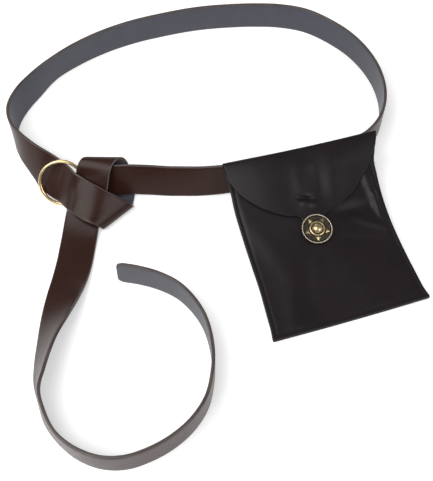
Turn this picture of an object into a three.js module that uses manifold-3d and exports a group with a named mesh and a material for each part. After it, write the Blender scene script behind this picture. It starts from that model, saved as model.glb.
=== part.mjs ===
// Medieval ring belt with a leather pouch, lying on a table: the strap stands on its edge as a waist loop, is
// knotted round its own front part at the ring, and its free end lies flat and then curls up on edge.
// Millimetres, +Z up. The origin is under the middle of the whole part, on the table.
import * as THREE from 'three';
import { mergeVertices } from 'three/addons/utils/BufferGeometryUtils.js';
import Module from 'manifold-3d';

const wasm = await Module();
wasm.setup();

// Strap
const STRAP_WIDTH = 30;
const STRAP_THICKNESS = 3;
const LOOP_WIDTH = 342;
const LOOP_DEPTH = 206;
const CURL_WIDTH = 132;
const TAIL_REACH = 241;
const TONGUE_WIDTH = 14;

// Ring and the rivet that closes the strap's end round it
const RING_WIRE = 3;
const RING_ROOM = 4.2;
const RING_LEAN = THREE.MathUtils.degToRad(48);
const RIVET_SHANK = 2.4;
const RIVET_HEAD = 5;
const RIVET_HEAD_THICKNESS = 0.8;

// Pouch
const POUCH_WIDTH = 134;
const POUCH_LENGTH = 142;
const FLAP_LENGTH = 72;
const POUCH_WALL = 1.8;
const FOLD_OVER_STRAP = 10;
const POUCH_TURN = THREE.MathUtils.degToRad(16);
const BELT_LOOP_WIDTH = 16;
const BELT_LOOP_SPACING = 46;

// Button on the flap
const BUTTON_DIAMETER = 26;
const BUTTON_HEIGHT = 5;
const POST_DIAMETER = 4;
const POST_HEAD_DIAMETER = 8;
const POST_HEAD_THICKNESS = 0.8;
const STAR_POINTS = 5;
const ROPE_TURNS = 34;

// Room between pieces that touch
const GAP = 0.3;

// Fineness of the mesh
const STRAP_STEP = 9;
const KNOT_STEP = 4;
const RING_STEPS = 48;
const WIRE_SIDES = 10;
const PANEL_COLUMNS = 14;
const ROUND_STEPS = 32;

// Sizes that follow from the ones above
const ringRadius = (STRAP_WIDTH + RING_ROOM + RING_WIRE) / 2;
const ringHeight = STRAP_WIDTH * 0.567;
const wrapRadius = (RING_WIRE + STRAP_THICKNESS) / 2 + GAP;
const stackHeight = POUCH_WALL + GAP;
const foldHeight = STRAP_WIDTH + FOLD_OVER_STRAP;
const backStand = (STRAP_THICKNESS + POUCH_WALL) / 2 + 2 * GAP;

// Knot, in strap widths from the ring's middle, height from the table; then the direction of the strap's
// upper edge, and its width as a share. Columns: side, away, height, edge side, edge away, edge up, width
const FRONT_OF_KNOT = [
  [1.196, 0.018, 0.613, 0, 0.56, 0.83, 1],
  [1.463, 0.032, 0.640, 0, 0.45, 0.89, 1],
  [1.796, 0.055, 0.643, 0, 0.38, 0.93, 1],
  [2.396, 0.085, 0.580, 0, 0.37, 0.93, 1],
];
const INTO_RING = [
  [-1.671, 2.442, 0.502, -0.15, 0, 0.99, 1],
  [-1.604, 1.842, 0.501, 0, 0.02, 1, 1],
  [-1.287, 1.308, 0.498, 0.2, 0.12, 0.97, 1],
  [-0.921, 0.908, 0.475, 0.32, 0.28, 0.9, 1],
  [-0.587, 0.608, 0.533, 0.43, 0.46, 0.77, 1],
];
// Through the ring. Columns: along the ring's width, up its slope, out of its face, edge in the same three
const THROUGH_RING = [
  [-0.333, 0.200, -0.173, 0.54, 0.84, -0.04],
  [-0.133, 0.067, -0.080, 0.52, 0.85, 0.02],
  [0.033, -0.030, 0.067, 0.49, 0.87, 0.12],
  [0.200, -0.100, 0.240, 0.47, 0.88, 0.23],
];
const OVER_AND_UNDER = [
  [0.458, -0.492, 0.733, 0.47, 0.72, 0.51, 1],
  [0.806, -0.727, 0.700, 0.49, 0.77, 0.41, 1.02],
  [1.110, -0.858, 0.605, 0.57, 0.78, 0.24, 1.04],
  [1.296, -0.890, 0.500, 0.64, 0.76, 0.1, 1.09],
  [1.457, -0.919, 0.385, 0.71, 0.7, 0, 1.12],
  [1.566, -0.930, 0.260, 0.72, 0.69, 0, 1.15],
  [1.612, -0.905, 0.165, 0.72, 0.69, 0, 1.15],
  [1.602, -0.852, 0.085, 0.72, 0.69, 0, 1.13],
  [1.575, -0.725, 0.053, 0.77, 0.64, 0, 1.1],
  [1.565, -0.500, 0.055, 0.88, 0.47, 0, 1.02],
  [1.560, -0.158, 0.057, 0.96, 0.28, 0.03, 1],
  [1.510, 0.085, 0.147, 0.98, 0.17, 0.1, 1],
  [1.460, 0.212, 0.400, 0.99, 0.1, 0.06, 1],
  [1.415, 0.325, 0.700, 0.99, 0.05, 0.05, 1],
  [1.375, 0.425, 0.947, 0.99, 0.02, 0.03, 1],
  [1.283, 0.452, 1.093, 0.99, 0, 0, 1],
  [1.109, 0.345, 1.210, 1, -0.02, 0, 1],
  [0.989, 0.165, 1.160, 1, -0.05, 0.08, 1],
  [0.923, -0.018, 0.973, 1, -0.08, 0.2, 1],
  [0.869, -0.190, 0.800, 1, -0.1, 0.13, 1],
  [0.809, -0.358, 0.597, 1, -0.13, 0.06, 1],
  [0.738, -0.568, 0.400, 1, -0.17, 0.01, 1],
  [0.645, -0.855, 0.262, 1, -0.17, 0, 1],
  [0.592, -1.175, 0.162, 1, -0.18, 0, 1],
  [0.556, -1.508, 0.090, 1, -0.12, 0, 1],
  [0.516, -1.875, 0.055, 1, -0.1, 0, 1],
];
// End of the strap round the ring's wire, in wrap radii from the wire's middle. Columns: along, out of the face
const WRAP = [
  [1.72, -1], [0.95, -1], [-0.48, -1], [-1.33, -0.73], [-1.64, 0], [-1.33, 0.73], [-0.48, 1],
];
// From the wrap to the leaning strap, in strap widths. Columns: along, up the slope, out, edge out, width
const LEAVING_WRAP = [
  [0.750, 0, 0.080, 0.02, 0.56],
  [0.933, 0, 0.033, 0.06, 0.8],
];

// Front of the waist loop up to the pouch, as shares of the loop's width and depth from the ring's middle.
// Columns: side, away, then the strap's edge: side, away, up
const BEFORE_POUCH = [
  [0.274, 0.015, 0, 0.37, 0.93],
  [0.345, 0.015, 0, 0.35, 0.94],
];
// Strap behind the pouch. Columns: across as a share of the pouch's width, back in strap widths, edge back,
// lift as a share of the belt loop under it
const BEHIND_POUCH = [
  [-0.43, 0.077, 0.29, 0.6],
  [-0.27, 0.012, 0.01, 1],
  [-0.12, 0, 0, 1],
  [0.12, 0, 0, 1],
  [0.24, 0.004, 0, 1],
  [0.30, 0.04, 0, 1],
  [0.373, 0.13, 0, 0.7],
];
// Rest of the waist loop, with the same columns as the front
const ROUND_WAIST = [
  [0.766, 0.217, 0, 0, 1], [0.802, 0.290, 0, 0, 1], [0.821, 0.373, 0, 0, 1], [0.826, 0.460, 0, 0, 1],
  [0.817, 0.562, 0, 0, 1], [0.793, 0.664, 0, 0, 1], [0.754, 0.761, 0, 0, 1], [0.698, 0.847, 0, 0, 1],
  [0.634, 0.912, 0, 0, 1], [0.561, 0.941, 0, 0, 1], [0.494, 0.946, 0, 0, 1], [0.415, 0.940, 0, 0, 1],
  [0.327, 0.922, 0, 0, 1], [0.239, 0.887, 0, 0, 1], [0.152, 0.841, 0, 0, 1], [0.079, 0.786, 0, 0, 1],
  [0.005, 0.709, 0, 0, 1], [-0.057, 0.620, 0, 0, 1], [-0.100, 0.525, -0.12, 0.09, 0.98],
  [-0.132, 0.438, -0.18, 0.06, 0.98],
];
// Free end: flat, then turning up on edge, then curled. Columns: side as a share of the curl's width, near as a
// share of the tail's reach, then the strap's edge
const FREE_END = [
  [0.108, 0.287, 1, -0.12, 0.02], [0.090, 0.354, 1, -0.16, 0.12], [0.061, 0.428, 1, -0.22, 0.34],
  [0.029, 0.507, 1, -0.28, 0.72], [0.002, 0.586, 1, -0.22, 1.25], [-0.016, 0.661, 1, -0.1, 1.75],
  [-0.022, 0.723, 0.9, 0, 2.2], [-0.010, 0.789, 0.35, 0.12, 2.6], [0.033, 0.856, 0.08, 0.06, 1],
  [0.114, 0.922, 0, 0, 1], [0.245, 0.976, 0, 0, 1], [0.378, 1, 0, 0, 1], [0.503, 0.999, 0, 0, 1],
  [0.628, 0.976, 0, 0, 1], [0.753, 0.937, 0, 0, 1], [0.875, 0.874, 0, 0, 1], [0.944, 0.810, 0, 0, 1],
  [0.975, 0.735, 0, 0, 1], [0.982, 0.673, 0, 0, 1], [0.967, 0.605, 0, 0, 1], [0.926, 0.533, 0, 0, 1],
  [0.857, 0.472, 0, 0, 1], [0.767, 0.422, 0, 0, 1], [0.654, 0.388, 0, 0, 1], [0.526, 0.366, 0, 0, 1],
  [0.388, 0.353, 0, 0, 1],
];

// Pouch outline, seen from above. Columns: along as a share of the pouch's length, then how far the left and
// the right edge stand out, as shares of half the pouch's width
const OUTLINE = [
  [-0.04, -1.005, 1], [0.05, -1, 0.93], [0.10, -0.992, 0.885], [0.19, -1, 0.866], [0.35, -0.998, 0.848],
  [0.52, -0.994, 0.85], [0.70, -0.992, 0.87], [0.85, -1.008, 0.895], [0.95, -1.02, 0.915], [1, -1.035, 0.94],
];
// Leather of the back, from the fold down. Columns: middle along and height, edge along and height, as shares of
// the pouch's length and the fold's height, and slant of the row across
const BACK = [
  [-0.010, 0.972, -0.036, 0.890, 0.020],
  [0.001, 0.800, -0.002, 0.772, 0.018],
  [0.009, 0.600, 0.046, 0.688, 0.016],
  [0.023, 0.400, 0.094, 0.608, 0.014],
  [0.054, 0.215, 0.146, 0.522, 0.012],
  [0.110, 0.090, 0.204, 0.438, 0.010],
  [0.195, 0.028, 0.278, 0.342, 0.008],
  [0.330, 0.005, 0.400, 0.230, 0.004],
  [0.470, 0, 0.528, 0.155, 0],
  [0.645, 0, 0.687, 0.098, -0.006],
  [0.820, 0, 0.852, 0.060, -0.012],
  [1, 0, 1, 0.038, -0.017],
];
// Middle of the front leather, from the mouth down, row for row with the back from its third row on.
// Columns: along, height, as above
const FRONT = [
  [0.068, 0.765], [0.110, 0.692], [0.160, 0.618], [0.216, 0.545], [0.287, 0.470], [0.406, 0.378],
  [0.533, 0.300], [0.688, 0.210], [0.853, 0.118], [1, 0.053],
];
const MOUTH_ROW = 2;
// Flap, from the fold to its tip. Columns: middle along as a share of the flap's length and height as a share of
// the fold's, edge along and height, then the left and right limit as shares of half the pouch's width
const FLAP = [
  [0.001, 1, -0.050, 0.912, -1.005, 1],
  [0.057, 0.975, 0.017, 0.875, -0.994, 0.978],
  [0.161, 0.898, 0.128, 0.788, -0.985, 0.896],
  [0.290, 0.782, 0.274, 0.675, -0.910, 0.770],
  [0.420, 0.672, 0.406, 0.582, -0.790, 0.620],
  [0.538, 0.582, 0.531, 0.498, -0.634, 0.478],
  [0.650, 0.510, 0.650, 0.428, -0.418, 0.269],
  [0.690, 0.490, 0.690, 0.405, -0.276, 0.142],
  [0.746, 0.462, 0.746, 0.372, -0.239, 0.030],
  [0.885, 0.410, 0.885, 0.310, -0.224, 0.015],
  [0.996, 0.372, 0.996, 0.268, -0.164, -0.045],
];
const BUTTON_ALONG = 0.885;
const BUTTON_ACROSS = -0.109;

// Belt loop, seen from its side. Its tab on the pouch's back has the columns: forward of the strap's middle in
// strap widths, height over the strap's top as a share of how far the fold stands over it. Its lower end lies
// under the strap and reaches forward, in strap widths
const LOOP_TAB = [
  [-0.064, 0.67], [-0.040, 0.43], [-0.060, 0.26],
];
const LOOP_UNDER = [0.22, 0.6, 0.78];

// Button profile, from the rim inwards. Columns: share of its radius, share of its height
const BUTTON_PROFILE = [
  [0.94, 0.02], [0.97, 0.12], [0.95, 0.26], [0.86, 0.3], [0.83, 0.2], [0.52, 0.24], [0.5, 0.42], [0.42, 0.5],
  [0.34, 0.54], [0.32, 0.7], [0.24, 0.88], [0.12, 0.98],
];

const vec = (x, y, z) => new THREE.Vector3(x, y, z);

// Cubic through rows of numbers, all columns alike, by the distance between the rows' first three
function alongRows(rows, stepAt) {
  const at = [0];
  for (let i = 1; i < rows.length; i += 1) {
    at.push(at[i - 1] + vec(...rows[i].slice(0, 3)).distanceTo(vec(...rows[i - 1].slice(0, 3))));
  }
  const slope = rows.map((row, i) => row.map((value, c) => {
    if (i === 0) return (rows[1][c] - value) / (at[1] - at[0]);
    if (i === rows.length - 1) return (value - rows[i - 1][c]) / (at[i] - at[i - 1]);
    const before = at[i] - at[i - 1];
    const after = at[i + 1] - at[i];
    const slopeBefore = (value - rows[i - 1][c]) / before;
    const slopeAfter = (rows[i + 1][c] - value) / after;
    return (slopeBefore * after + slopeAfter * before) / (before + after);
  }));
  const out = [];
  for (let i = 0; i < rows.length - 1; i += 1) {
    const span = at[i + 1] - at[i];
    const steps = Math.max(2, Math.ceil(span / stepAt(i)));
    for (let k = 0; k < steps; k += 1) {
      const t = k / steps;
      out.push(rows[i].map((value, c) => (2 * t ** 3 - 3 * t * t + 1) * value
        + (t ** 3 - 2 * t * t + t) * span * slope[i][c]
        + (3 * t * t - 2 * t ** 3) * rows[i + 1][c]
        + (t ** 3 - t * t) * span * slope[i + 1][c]));
    }
  }
  out.push(rows[rows.length - 1]);
  return out;
}

// One value read off a table by its first column, smoothed between rows
function readTable(table, column, place) {
  let i = 0;
  while (i < table.length - 2 && place > table[i + 1][0]) i += 1;
  const t = THREE.MathUtils.clamp((place - table[i][0]) / (table[i + 1][0] - table[i][0]), 0, 1);
  return THREE.MathUtils.lerp(table[i][column], table[i + 1][column], t);
}

// Closed mesh from a list of points and a list of triangles
function meshed(points, triangles) {
  const geometry = new THREE.BufferGeometry();
  geometry.setAttribute('position', new THREE.Float32BufferAttribute(points.flatMap((p) => [p.x, p.y, p.z]), 3));
  geometry.setIndex(triangles.flat());
  return geometry;
}

// Leather of even thickness on both sides of a grid of points: rows along, columns across
function leather(grid, thickness) {
  const rows = grid.length;
  const columns = grid[0].length;
  const faces = [[], []];
  for (let i = 0; i < rows; i += 1) {
    for (let j = 0; j < columns; j += 1) {
      const alongIt = grid[Math.min(i + 1, rows - 1)][j].clone().sub(grid[Math.max(i - 1, 0)][j]);
      const acrossIt = grid[i][Math.min(j + 1, columns - 1)].clone().sub(grid[i][Math.max(j - 1, 0)]);
      const out = alongIt.cross(acrossIt).normalize().multiplyScalar(thickness / 2);
      faces[0].push(grid[i][j].clone().add(out));
      faces[1].push(grid[i][j].clone().sub(out));
    }
  }
  const count = rows * columns;
  const triangles = [];
  const quad = (a, b, c, d) => triangles.push([a, b, c], [a, c, d]);
  for (let i = 0; i < rows - 1; i += 1) {
    for (let j = 0; j < columns - 1; j += 1) {
      const p = i * columns + j;
      quad(p, p + columns, p + columns + 1, p + 1);
      quad(count + p, count + p + 1, count + p + columns + 1, count + p + columns);
    }
    const first = i * columns;
    const last = first + columns - 1;
    quad(first, count + first, count + first + columns, first + columns);
    quad(last, last + columns, count + last + columns, count + last);
  }
  for (let j = 0; j < columns - 1; j += 1) {
    const end = (rows - 1) * columns + j;
    quad(j, j + 1, count + j + 1, count + j);
    quad(end, count + end, count + end + 1, end + 1);
  }
  return meshed(faces.flat(), triangles);
}

// Joining and cutting of closed meshes
function toSolid(geometry) {
  const plain = geometry.clone();
  plain.deleteAttribute('normal');
  plain.deleteAttribute('uv');
  const merged = mergeVertices(plain, 1e-4);
  return new wasm.Manifold(new wasm.Mesh({
    numProp: 3,
    vertProperties: new Float32Array(merged.attributes.position.array),
    triVerts: new Uint32Array(merged.index.array),
  }));
}
function fromSolid(solid) {
  const mesh = solid.getMesh();
  const geometry = new THREE.BufferGeometry();
  geometry.setAttribute('position', new THREE.Float32BufferAttribute(mesh.vertProperties, 3));
  geometry.setIndex(Array.from(mesh.triVerts));
  return geometry;
}

function named(name, geometry, colour, roughness, metalness) {
  const shaded = geometry.index ? geometry.toNonIndexed() : geometry;
  shaded.computeVertexNormals();
  const material = new THREE.MeshStandardMaterial({ color: colour, roughness, metalness, flatShading: true });
  const mesh = new THREE.Mesh(mergeVertices(geometry, 1e-4), material);
  mesh.name = name;
  return mesh;
}

// Ring's own directions: along its width, up its slope, out of its face
const ringAlong = vec(1, 0, 0);
const ringUp = vec(0, Math.cos(RING_LEAN), Math.sin(RING_LEAN));
const ringOut = vec(0, -Math.sin(RING_LEAN), Math.cos(RING_LEAN));
const inRing = (u, v, n) => ringAlong.clone().multiplyScalar(u)
  .addScaledVector(ringUp, v).addScaledVector(ringOut, n);
const ringCentre = vec(0, 0, ringHeight);

// Pouch's own directions: across it, along it towards its bottom, and its place on the strap
const pouchPlace = vec(LOOP_WIDTH * 0.595, LOOP_DEPTH * 0.093, 0);
const pouchAcross = vec(Math.cos(POUCH_TURN), Math.sin(POUCH_TURN), 0);
const pouchAlong = vec(Math.sin(POUCH_TURN), -Math.cos(POUCH_TURN), 0);
const onPouch = (across, along, height) => pouchPlace.clone()
  .addScaledVector(pouchAcross, across).addScaledVector(pouchAlong, along).setZ(height);

// Strap: rows of middle, edge direction and width, then the ribbon through them
function strapRow(middle, edge, width) {
  const turned = edge.clone().normalize();
  return [middle.x, middle.y, middle.z, turned.x, turned.y, turned.z, width];
}
// Height of the strap's middle where its lower edge lies on the table
function restingHeight(edge) {
  return (STRAP_WIDTH * Math.abs(edge.z) + STRAP_THICKNESS * Math.sqrt(Math.max(0, 1 - edge.z ** 2))) / 2;
}
function standing(side, away, edge, lift = 0) {
  return strapRow(vec(side, away, restingHeight(edge.clone().normalize()) + lift), edge, 1);
}
function strapRows() {
  const knotted = ([x, y, z, ex, ey, ez, width]) => (
    strapRow(vec(x, y, z).multiplyScalar(STRAP_WIDTH), vec(ex, ey, ez), width));
  const waist = ([x, y, ex, ey, ez]) => standing(x * LOOP_WIDTH, y * LOOP_DEPTH, vec(ex, ey, ez));
  const tongue = TONGUE_WIDTH / STRAP_WIDTH;
  const wrap = WRAP.map(([u, n]) => strapRow(
    ringCentre.clone().add(inRing(ringRadius + u * wrapRadius, 0, n * wrapRadius)), ringUp, tongue));
  const leaving = LEAVING_WRAP.map(([u, v, n, edgeOut, width]) => strapRow(
    ringCentre.clone().add(inRing(u, v, n).multiplyScalar(STRAP_WIDTH)), inRing(0, 1, edgeOut), width));
  const behind = BEHIND_POUCH.map(([across, back, edgeBack, lift]) => {
    const place = onPouch(across * POUCH_WIDTH, -back * STRAP_WIDTH, 0);
    const edge = pouchAlong.clone().multiplyScalar(-edgeBack).setZ(1);
    return standing(place.x, place.y, edge, lift * stackHeight);
  });
  const through = THROUGH_RING.map(([u, v, n, eu, ev, en]) => strapRow(
    ringCentre.clone().add(inRing(u, v, n).multiplyScalar(STRAP_WIDTH)), inRing(eu, ev, en), 1));
  const freeEnd = FREE_END.map(([x, y, ex, ey, ez]) => standing(
    x * CURL_WIDTH, -y * TAIL_REACH, vec(ex, ey, ez)));
  return {
    start: [...wrap, ...leaving, ...FRONT_OF_KNOT.map(knotted)],
    loop: [...BEFORE_POUCH.map(waist), ...behind, ...ROUND_WAIST.map(waist)],
    knot: [...INTO_RING.map(knotted), ...through, ...OVER_AND_UNDER.map(knotted)],
    freeEnd,
  };
}
function makeStrap() {
  const { start, loop, knot, freeEnd } = strapRows();
  const rows = [...start, ...loop, ...knot, ...freeEnd];
  const knotFrom = start.length + loop.length;
  const knotTo = knotFrom + knot.length;
  const stepAt = (i) => (i < start.length - 2 || (i >= knotFrom && i < knotTo) ? KNOT_STEP : STRAP_STEP);
  const grid = alongRows(rows, stepAt).map(([x, y, z, ex, ey, ez, width]) => {
    const edge = vec(ex, ey, ez).normalize();
    const half = edge.clone().multiplyScalar((STRAP_WIDTH * width) / 2);
    const middle = vec(x, y, Math.max(z, restingHeight(edge)));
    return [middle.clone().sub(half), middle.clone().add(half)];
  });
  return leather(grid, STRAP_THICKNESS);
}

// Rivet through the turned end and the strap that it is turned back onto
const rivetAlong = ringRadius + WRAP[1][0] * wrapRadius;
const rivetLow = -wrapRadius - STRAP_THICKNESS / 2 - GAP;
const rivetHigh = (LEAVING_WRAP[0][2] * STRAP_WIDTH + wrapRadius + STRAP_THICKNESS) / 2 + 2 * GAP;
function lathe(profile, steps) {
  const geometry = new THREE.LatheGeometry(profile.map(([r, z]) => new THREE.Vector2(r, z)), steps);
  geometry.rotateX(Math.PI / 2);
  return geometry;
}
function makeRivet() {
  const shank = RIVET_SHANK / 2;
  const head = RIVET_HEAD / 2;
  return lathe([
    [0, rivetLow - RIVET_HEAD_THICKNESS], [head, rivetLow - RIVET_HEAD_THICKNESS], [head, rivetLow],
    [shank, rivetLow], [shank, rivetHigh], [head, rivetHigh],
    [head, rivetHigh + RIVET_HEAD_THICKNESS / 2], [head / 2, rivetHigh + RIVET_HEAD_THICKNESS],
    [0, rivetHigh + RIVET_HEAD_THICKNESS],
  ], ROUND_STEPS / 2);
}
function pin(radius, from, to) {
  return lathe([[0, from], [radius, from], [radius, to], [0, to]], ROUND_STEPS / 2);
}
function seat(geometry, place, out) {
  const turn = new THREE.Quaternion().setFromUnitVectors(vec(0, 0, 1), out);
  return geometry.applyQuaternion(turn).translate(place.x, place.y, place.z);
}

// Pouch leather. Each row has a middle and two edges, and the form goes from one to the other across the row
const swellOfPanel = (u) => Math.max(0, 1 - (Math.abs(u) / 0.94) ** 2.4) ** 1.4;
const swellOfFlap = (u) => 1 - Math.abs(u) ** 2.2;
const halfPouch = POUCH_WIDTH / 2;
function pouchPoint(row, u, swell, left, right) {
  const share = swell(u);
  const across = THREE.MathUtils.lerp(left, right, (u + 1) / 2);
  const along = THREE.MathUtils.lerp(row.edgeAlong, row.along, share) + across * row.slant;
  return onPouch(across, backStand + along, THREE.MathUtils.lerp(row.edgeHeight, row.height, share));
}
const outlineAt = (along) => [1, 2].map((column) => readTable(OUTLINE, column, along) * halfPouch);
const heightOf = (share) => POUCH_WALL / 2 + share * foldHeight;
const backRows = BACK.map(([along, height, edgeAlong, edgeHeight, slant]) => ({
  along: along * POUCH_LENGTH,
  height: heightOf(height),
  edgeAlong: edgeAlong * POUCH_LENGTH,
  edgeHeight: heightOf(edgeHeight),
  slant,
  limits: outlineAt(edgeAlong),
}));
// Front's edges lie on the back's, one leather and one gap higher
const frontRows = FRONT.map(([along, height], i) => {
  const row = backRows[i + MOUTH_ROW];
  const next = backRows[Math.min(i + MOUTH_ROW + 1, backRows.length - 1)];
  const last = backRows[i + MOUTH_ROW - 1];
  const run = next.edgeAlong - last.edgeAlong;
  const fall = last.edgeHeight - next.edgeHeight;
  const reach = stackHeight / Math.hypot(run, fall);
  return {
    ...row,
    along: along * POUCH_LENGTH,
    height: heightOf(height),
    edgeAlong: row.edgeAlong + fall * reach,
    edgeHeight: row.edgeHeight + run * reach,
  };
});
const flapRows = FLAP.map(([along, height, edgeAlong, edgeHeight, left, right]) => ({
  along: along * FLAP_LENGTH,
  height: heightOf(height),
  edgeAlong: edgeAlong * FLAP_LENGTH,
  edgeHeight: heightOf(edgeHeight),
  slant: BACK[0][4],
  limits: [left * halfPouch, right * halfPouch],
}));
const columnsOf = () => Array.from({ length: PANEL_COLUMNS + 1 }, (_, j) => (2 * j) / PANEL_COLUMNS - 1);
// Rows between the table's rows, so that the leather bends softly
function finer(rows, pieces) {
  const numbers = rows.map((row) => [
    row.along, row.height, row.edgeAlong, row.edgeHeight, row.slant, ...row.limits]);
  const out = [];
  numbers.forEach((row, i) => {
    out.push(row);
    if (i === numbers.length - 1) return;
    const next = numbers[i + 1];
    const before = numbers[Math.max(i - 1, 0)];
    const after = numbers[Math.min(i + 2, numbers.length - 1)];
    for (let k = 1; k < pieces; k += 1) {
      const t = k / pieces;
      out.push(row.map((value, c) => 0.5 * (2 * value + (next[c] - before[c]) * t
        + (2 * before[c] - 5 * value + 4 * next[c] - after[c]) * t * t
        + (3 * value - before[c] - 3 * next[c] + after[c]) * t ** 3)));
    }
  });
  return out.map(([along, height, edgeAlong, edgeHeight, slant, left, right]) => (
    { along, height, edgeAlong, edgeHeight, slant, limits: [left, right] }));
}
function panelGrid(rows, swell) {
  return finer(rows, 2).map((row) => columnsOf().map((u) => pouchPoint(row, u, swell, ...row.limits)));
}
// The flap is trimmed to its own outline, so its columns run between its limits on the full width
function flapGrid() {
  return finer(flapRows, 2).map((row) => {
    const full = outlineAt(row.edgeAlong / POUCH_LENGTH);
    return columnsOf().map((share) => {
      const across = THREE.MathUtils.lerp(row.limits[0], row.limits[1], (share + 1) / 2);
      const u = THREE.MathUtils.clamp((2 * (across - full[0])) / (full[1] - full[0]) - 1, -1, 1);
      return pouchPoint(row, u, swellOfFlap, ...full);
    });
  });
}
function makeBackAndFlap() {
  const down = panelGrid(backRows, swellOfPanel).reverse();
  return leather([...down, ...flapGrid()], POUCH_WALL);
}
function makeFront() {
  return leather(panelGrid(frontRows, swellOfPanel).reverse(), POUCH_WALL);
}

// Button's place: on the flap's outer face, square to it
function surfaceAt(rows, swell, along, across) {
  const fine = finer(rows, 8);
  const point = (row) => {
    const full = outlineAt(row.edgeAlong / POUCH_LENGTH);
    const u = (2 * (across - full[0])) / (full[1] - full[0]) - 1;
    return pouchPoint(row, u, swell, ...full);
  };
  const i = fine.findIndex((row, k) => k > 0 && row.along >= along);
  const here = point(fine[i]);
  const slope = point(fine[i + 1]).sub(point(fine[i - 1]));
  const out = pouchAcross.clone().cross(slope).negate().normalize();
  return { here, out: out.z < 0 ? out.negate() : out };
}
const buttonAcross = BUTTON_ACROSS * halfPouch;
const onFlap = surfaceAt(flapRows, swellOfFlap, BUTTON_ALONG * FLAP_LENGTH, buttonAcross);
const onFront = surfaceAt(frontRows, swellOfPanel, BUTTON_ALONG * FLAP_LENGTH, buttonAcross);
const buttonOut = onFlap.out;
const buttonPlace = onFlap.here.clone().addScaledVector(buttonOut, POUCH_WALL / 2 + 2 * GAP);
const postLength = onFlap.here.clone().sub(onFront.here).dot(buttonOut) + POUCH_WALL + 3 * GAP;
function makeButton() {
  const radius = BUTTON_DIAMETER / 2;
  const post = POST_DIAMETER / 2;
  const head = POST_HEAD_DIAMETER / 2;
  const outline = BUTTON_PROFILE.map(([r, z]) => [r * radius, z * BUTTON_HEIGHT]);
  const body = lathe([
    [0, -postLength - POST_HEAD_THICKNESS], [head, -postLength - POST_HEAD_THICKNESS], [head, -postLength],
    [post, -postLength], [post, 0], [outline[0][0], 0], ...outline, [0, BUTTON_HEIGHT],
  ], ROUND_STEPS);
  let solid = toSolid(body);
  for (let i = 0; i < STAR_POINTS; i += 1) {
    solid = solid.add(toSolid(starPoint((i * 2 * Math.PI) / STAR_POINTS, radius)));
  }
  solid = solid.add(toSolid(ropeRim(radius)));
  return fromSolid(solid);
}
// One ridged point of the star round the dome
function starPoint(turn, radius) {
  const inner = radius * 0.4;
  const tip = vec(radius * 0.8, 0, BUTTON_HEIGHT * 0.26);
  const half = radius * 0.24;
  const low = BUTTON_HEIGHT * 0.12;
  const points = [
    vec(inner, -half, low), vec(inner, half, low), vec(inner, 0, BUTTON_HEIGHT * 0.46), tip,
    vec(tip.x, 0, low),
  ];
  const geometry = meshed(points, [[0, 2, 1], [0, 3, 2], [1, 2, 3], [0, 1, 4], [0, 4, 3], [1, 3, 4]]);
  return geometry.rotateZ(turn - 0.21);
}
// Rim of two strands twisted together
function ropeRim(radius) {
  const wire = radius * 0.085;
  const middle = radius - wire * 1.15;
  const sides = 8;
  const steps = ROPE_TURNS * 3;
  const points = [];
  const triangles = [];
  for (let i = 0; i < steps; i += 1) {
    const turn = (i * 2 * Math.PI) / steps;
    for (let j = 0; j < sides; j += 1) {
      const side = (j * 2 * Math.PI) / sides;
      const thick = wire * (1 + 0.15 * Math.cos(2 * side - ROPE_TURNS * turn));
      const out = middle + thick * Math.cos(side);
      points.push(vec(out * Math.cos(turn), out * Math.sin(turn), wire * 1.2 + thick * Math.sin(side)));
      const next = (i + 1) % steps;
      const a = i * sides + j;
      const b = i * sides + ((j + 1) % sides);
      const c = next * sides + ((j + 1) % sides);
      const d = next * sides + j;
      triangles.push([a, c, b], [a, d, c]);
    }
  }
  return meshed(points, triangles);
}

// Belt loop: sewn to the back above the strap, round behind it and forward under it
function makeBeltLoop(across) {
  const wall = POUCH_WALL;
  const behind = -(STRAP_THICKNESS + wall) / 2 - 3 * GAP;
  const over = stackHeight + STRAP_WIDTH + GAP + wall / 2;
  const bend = wall * 0.75;
  const shoulder = wall * 1.15;
  const turnOver = [80, 55, 28, 0].map((degrees) => {
    const turn = THREE.MathUtils.degToRad(degrees);
    return [behind + shoulder * (1 - Math.cos(turn)), over - shoulder * (1 - Math.sin(turn))];
  });
  const line = [
    ...LOOP_TAB.map(([forward, height]) => [
      forward * STRAP_WIDTH, stackHeight + STRAP_WIDTH + height * FOLD_OVER_STRAP]),
    ...turnOver,
    [behind, wall / 2 + bend * 1.4], [behind + bend * 0.2, wall / 2 + bend * 0.5],
    [behind + bend, wall / 2],
    ...LOOP_UNDER.map((forward) => [forward * STRAP_WIDTH, wall / 2]),
  ];
  const grid = line.map(([along, height]) => [-1, 1].map((side) => (
    onPouch(across + (side * BELT_LOOP_WIDTH) / 2, along, height))));
  return leather(grid, wall);
}

const holeRoom = 2 * GAP;
const rivetHole = seat(pin(RIVET_SHANK / 2 + GAP, rivetLow - holeRoom, rivetHigh + holeRoom),
  ringCentre.clone().add(inRing(rivetAlong, 0, 0)), ringOut);
const postHole = () => seat(pin(POST_DIAMETER / 2 + GAP, -postLength - holeRoom, holeRoom),
  buttonPlace, buttonOut);
const pierced = (geometry, hole) => fromSolid(toSolid(geometry).subtract(toSolid(hole)));

const GRAIN = 0x47302b;
const POUCH_GRAIN = 0x2f2a2c;
const BRASS = 0xc8a468;

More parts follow.
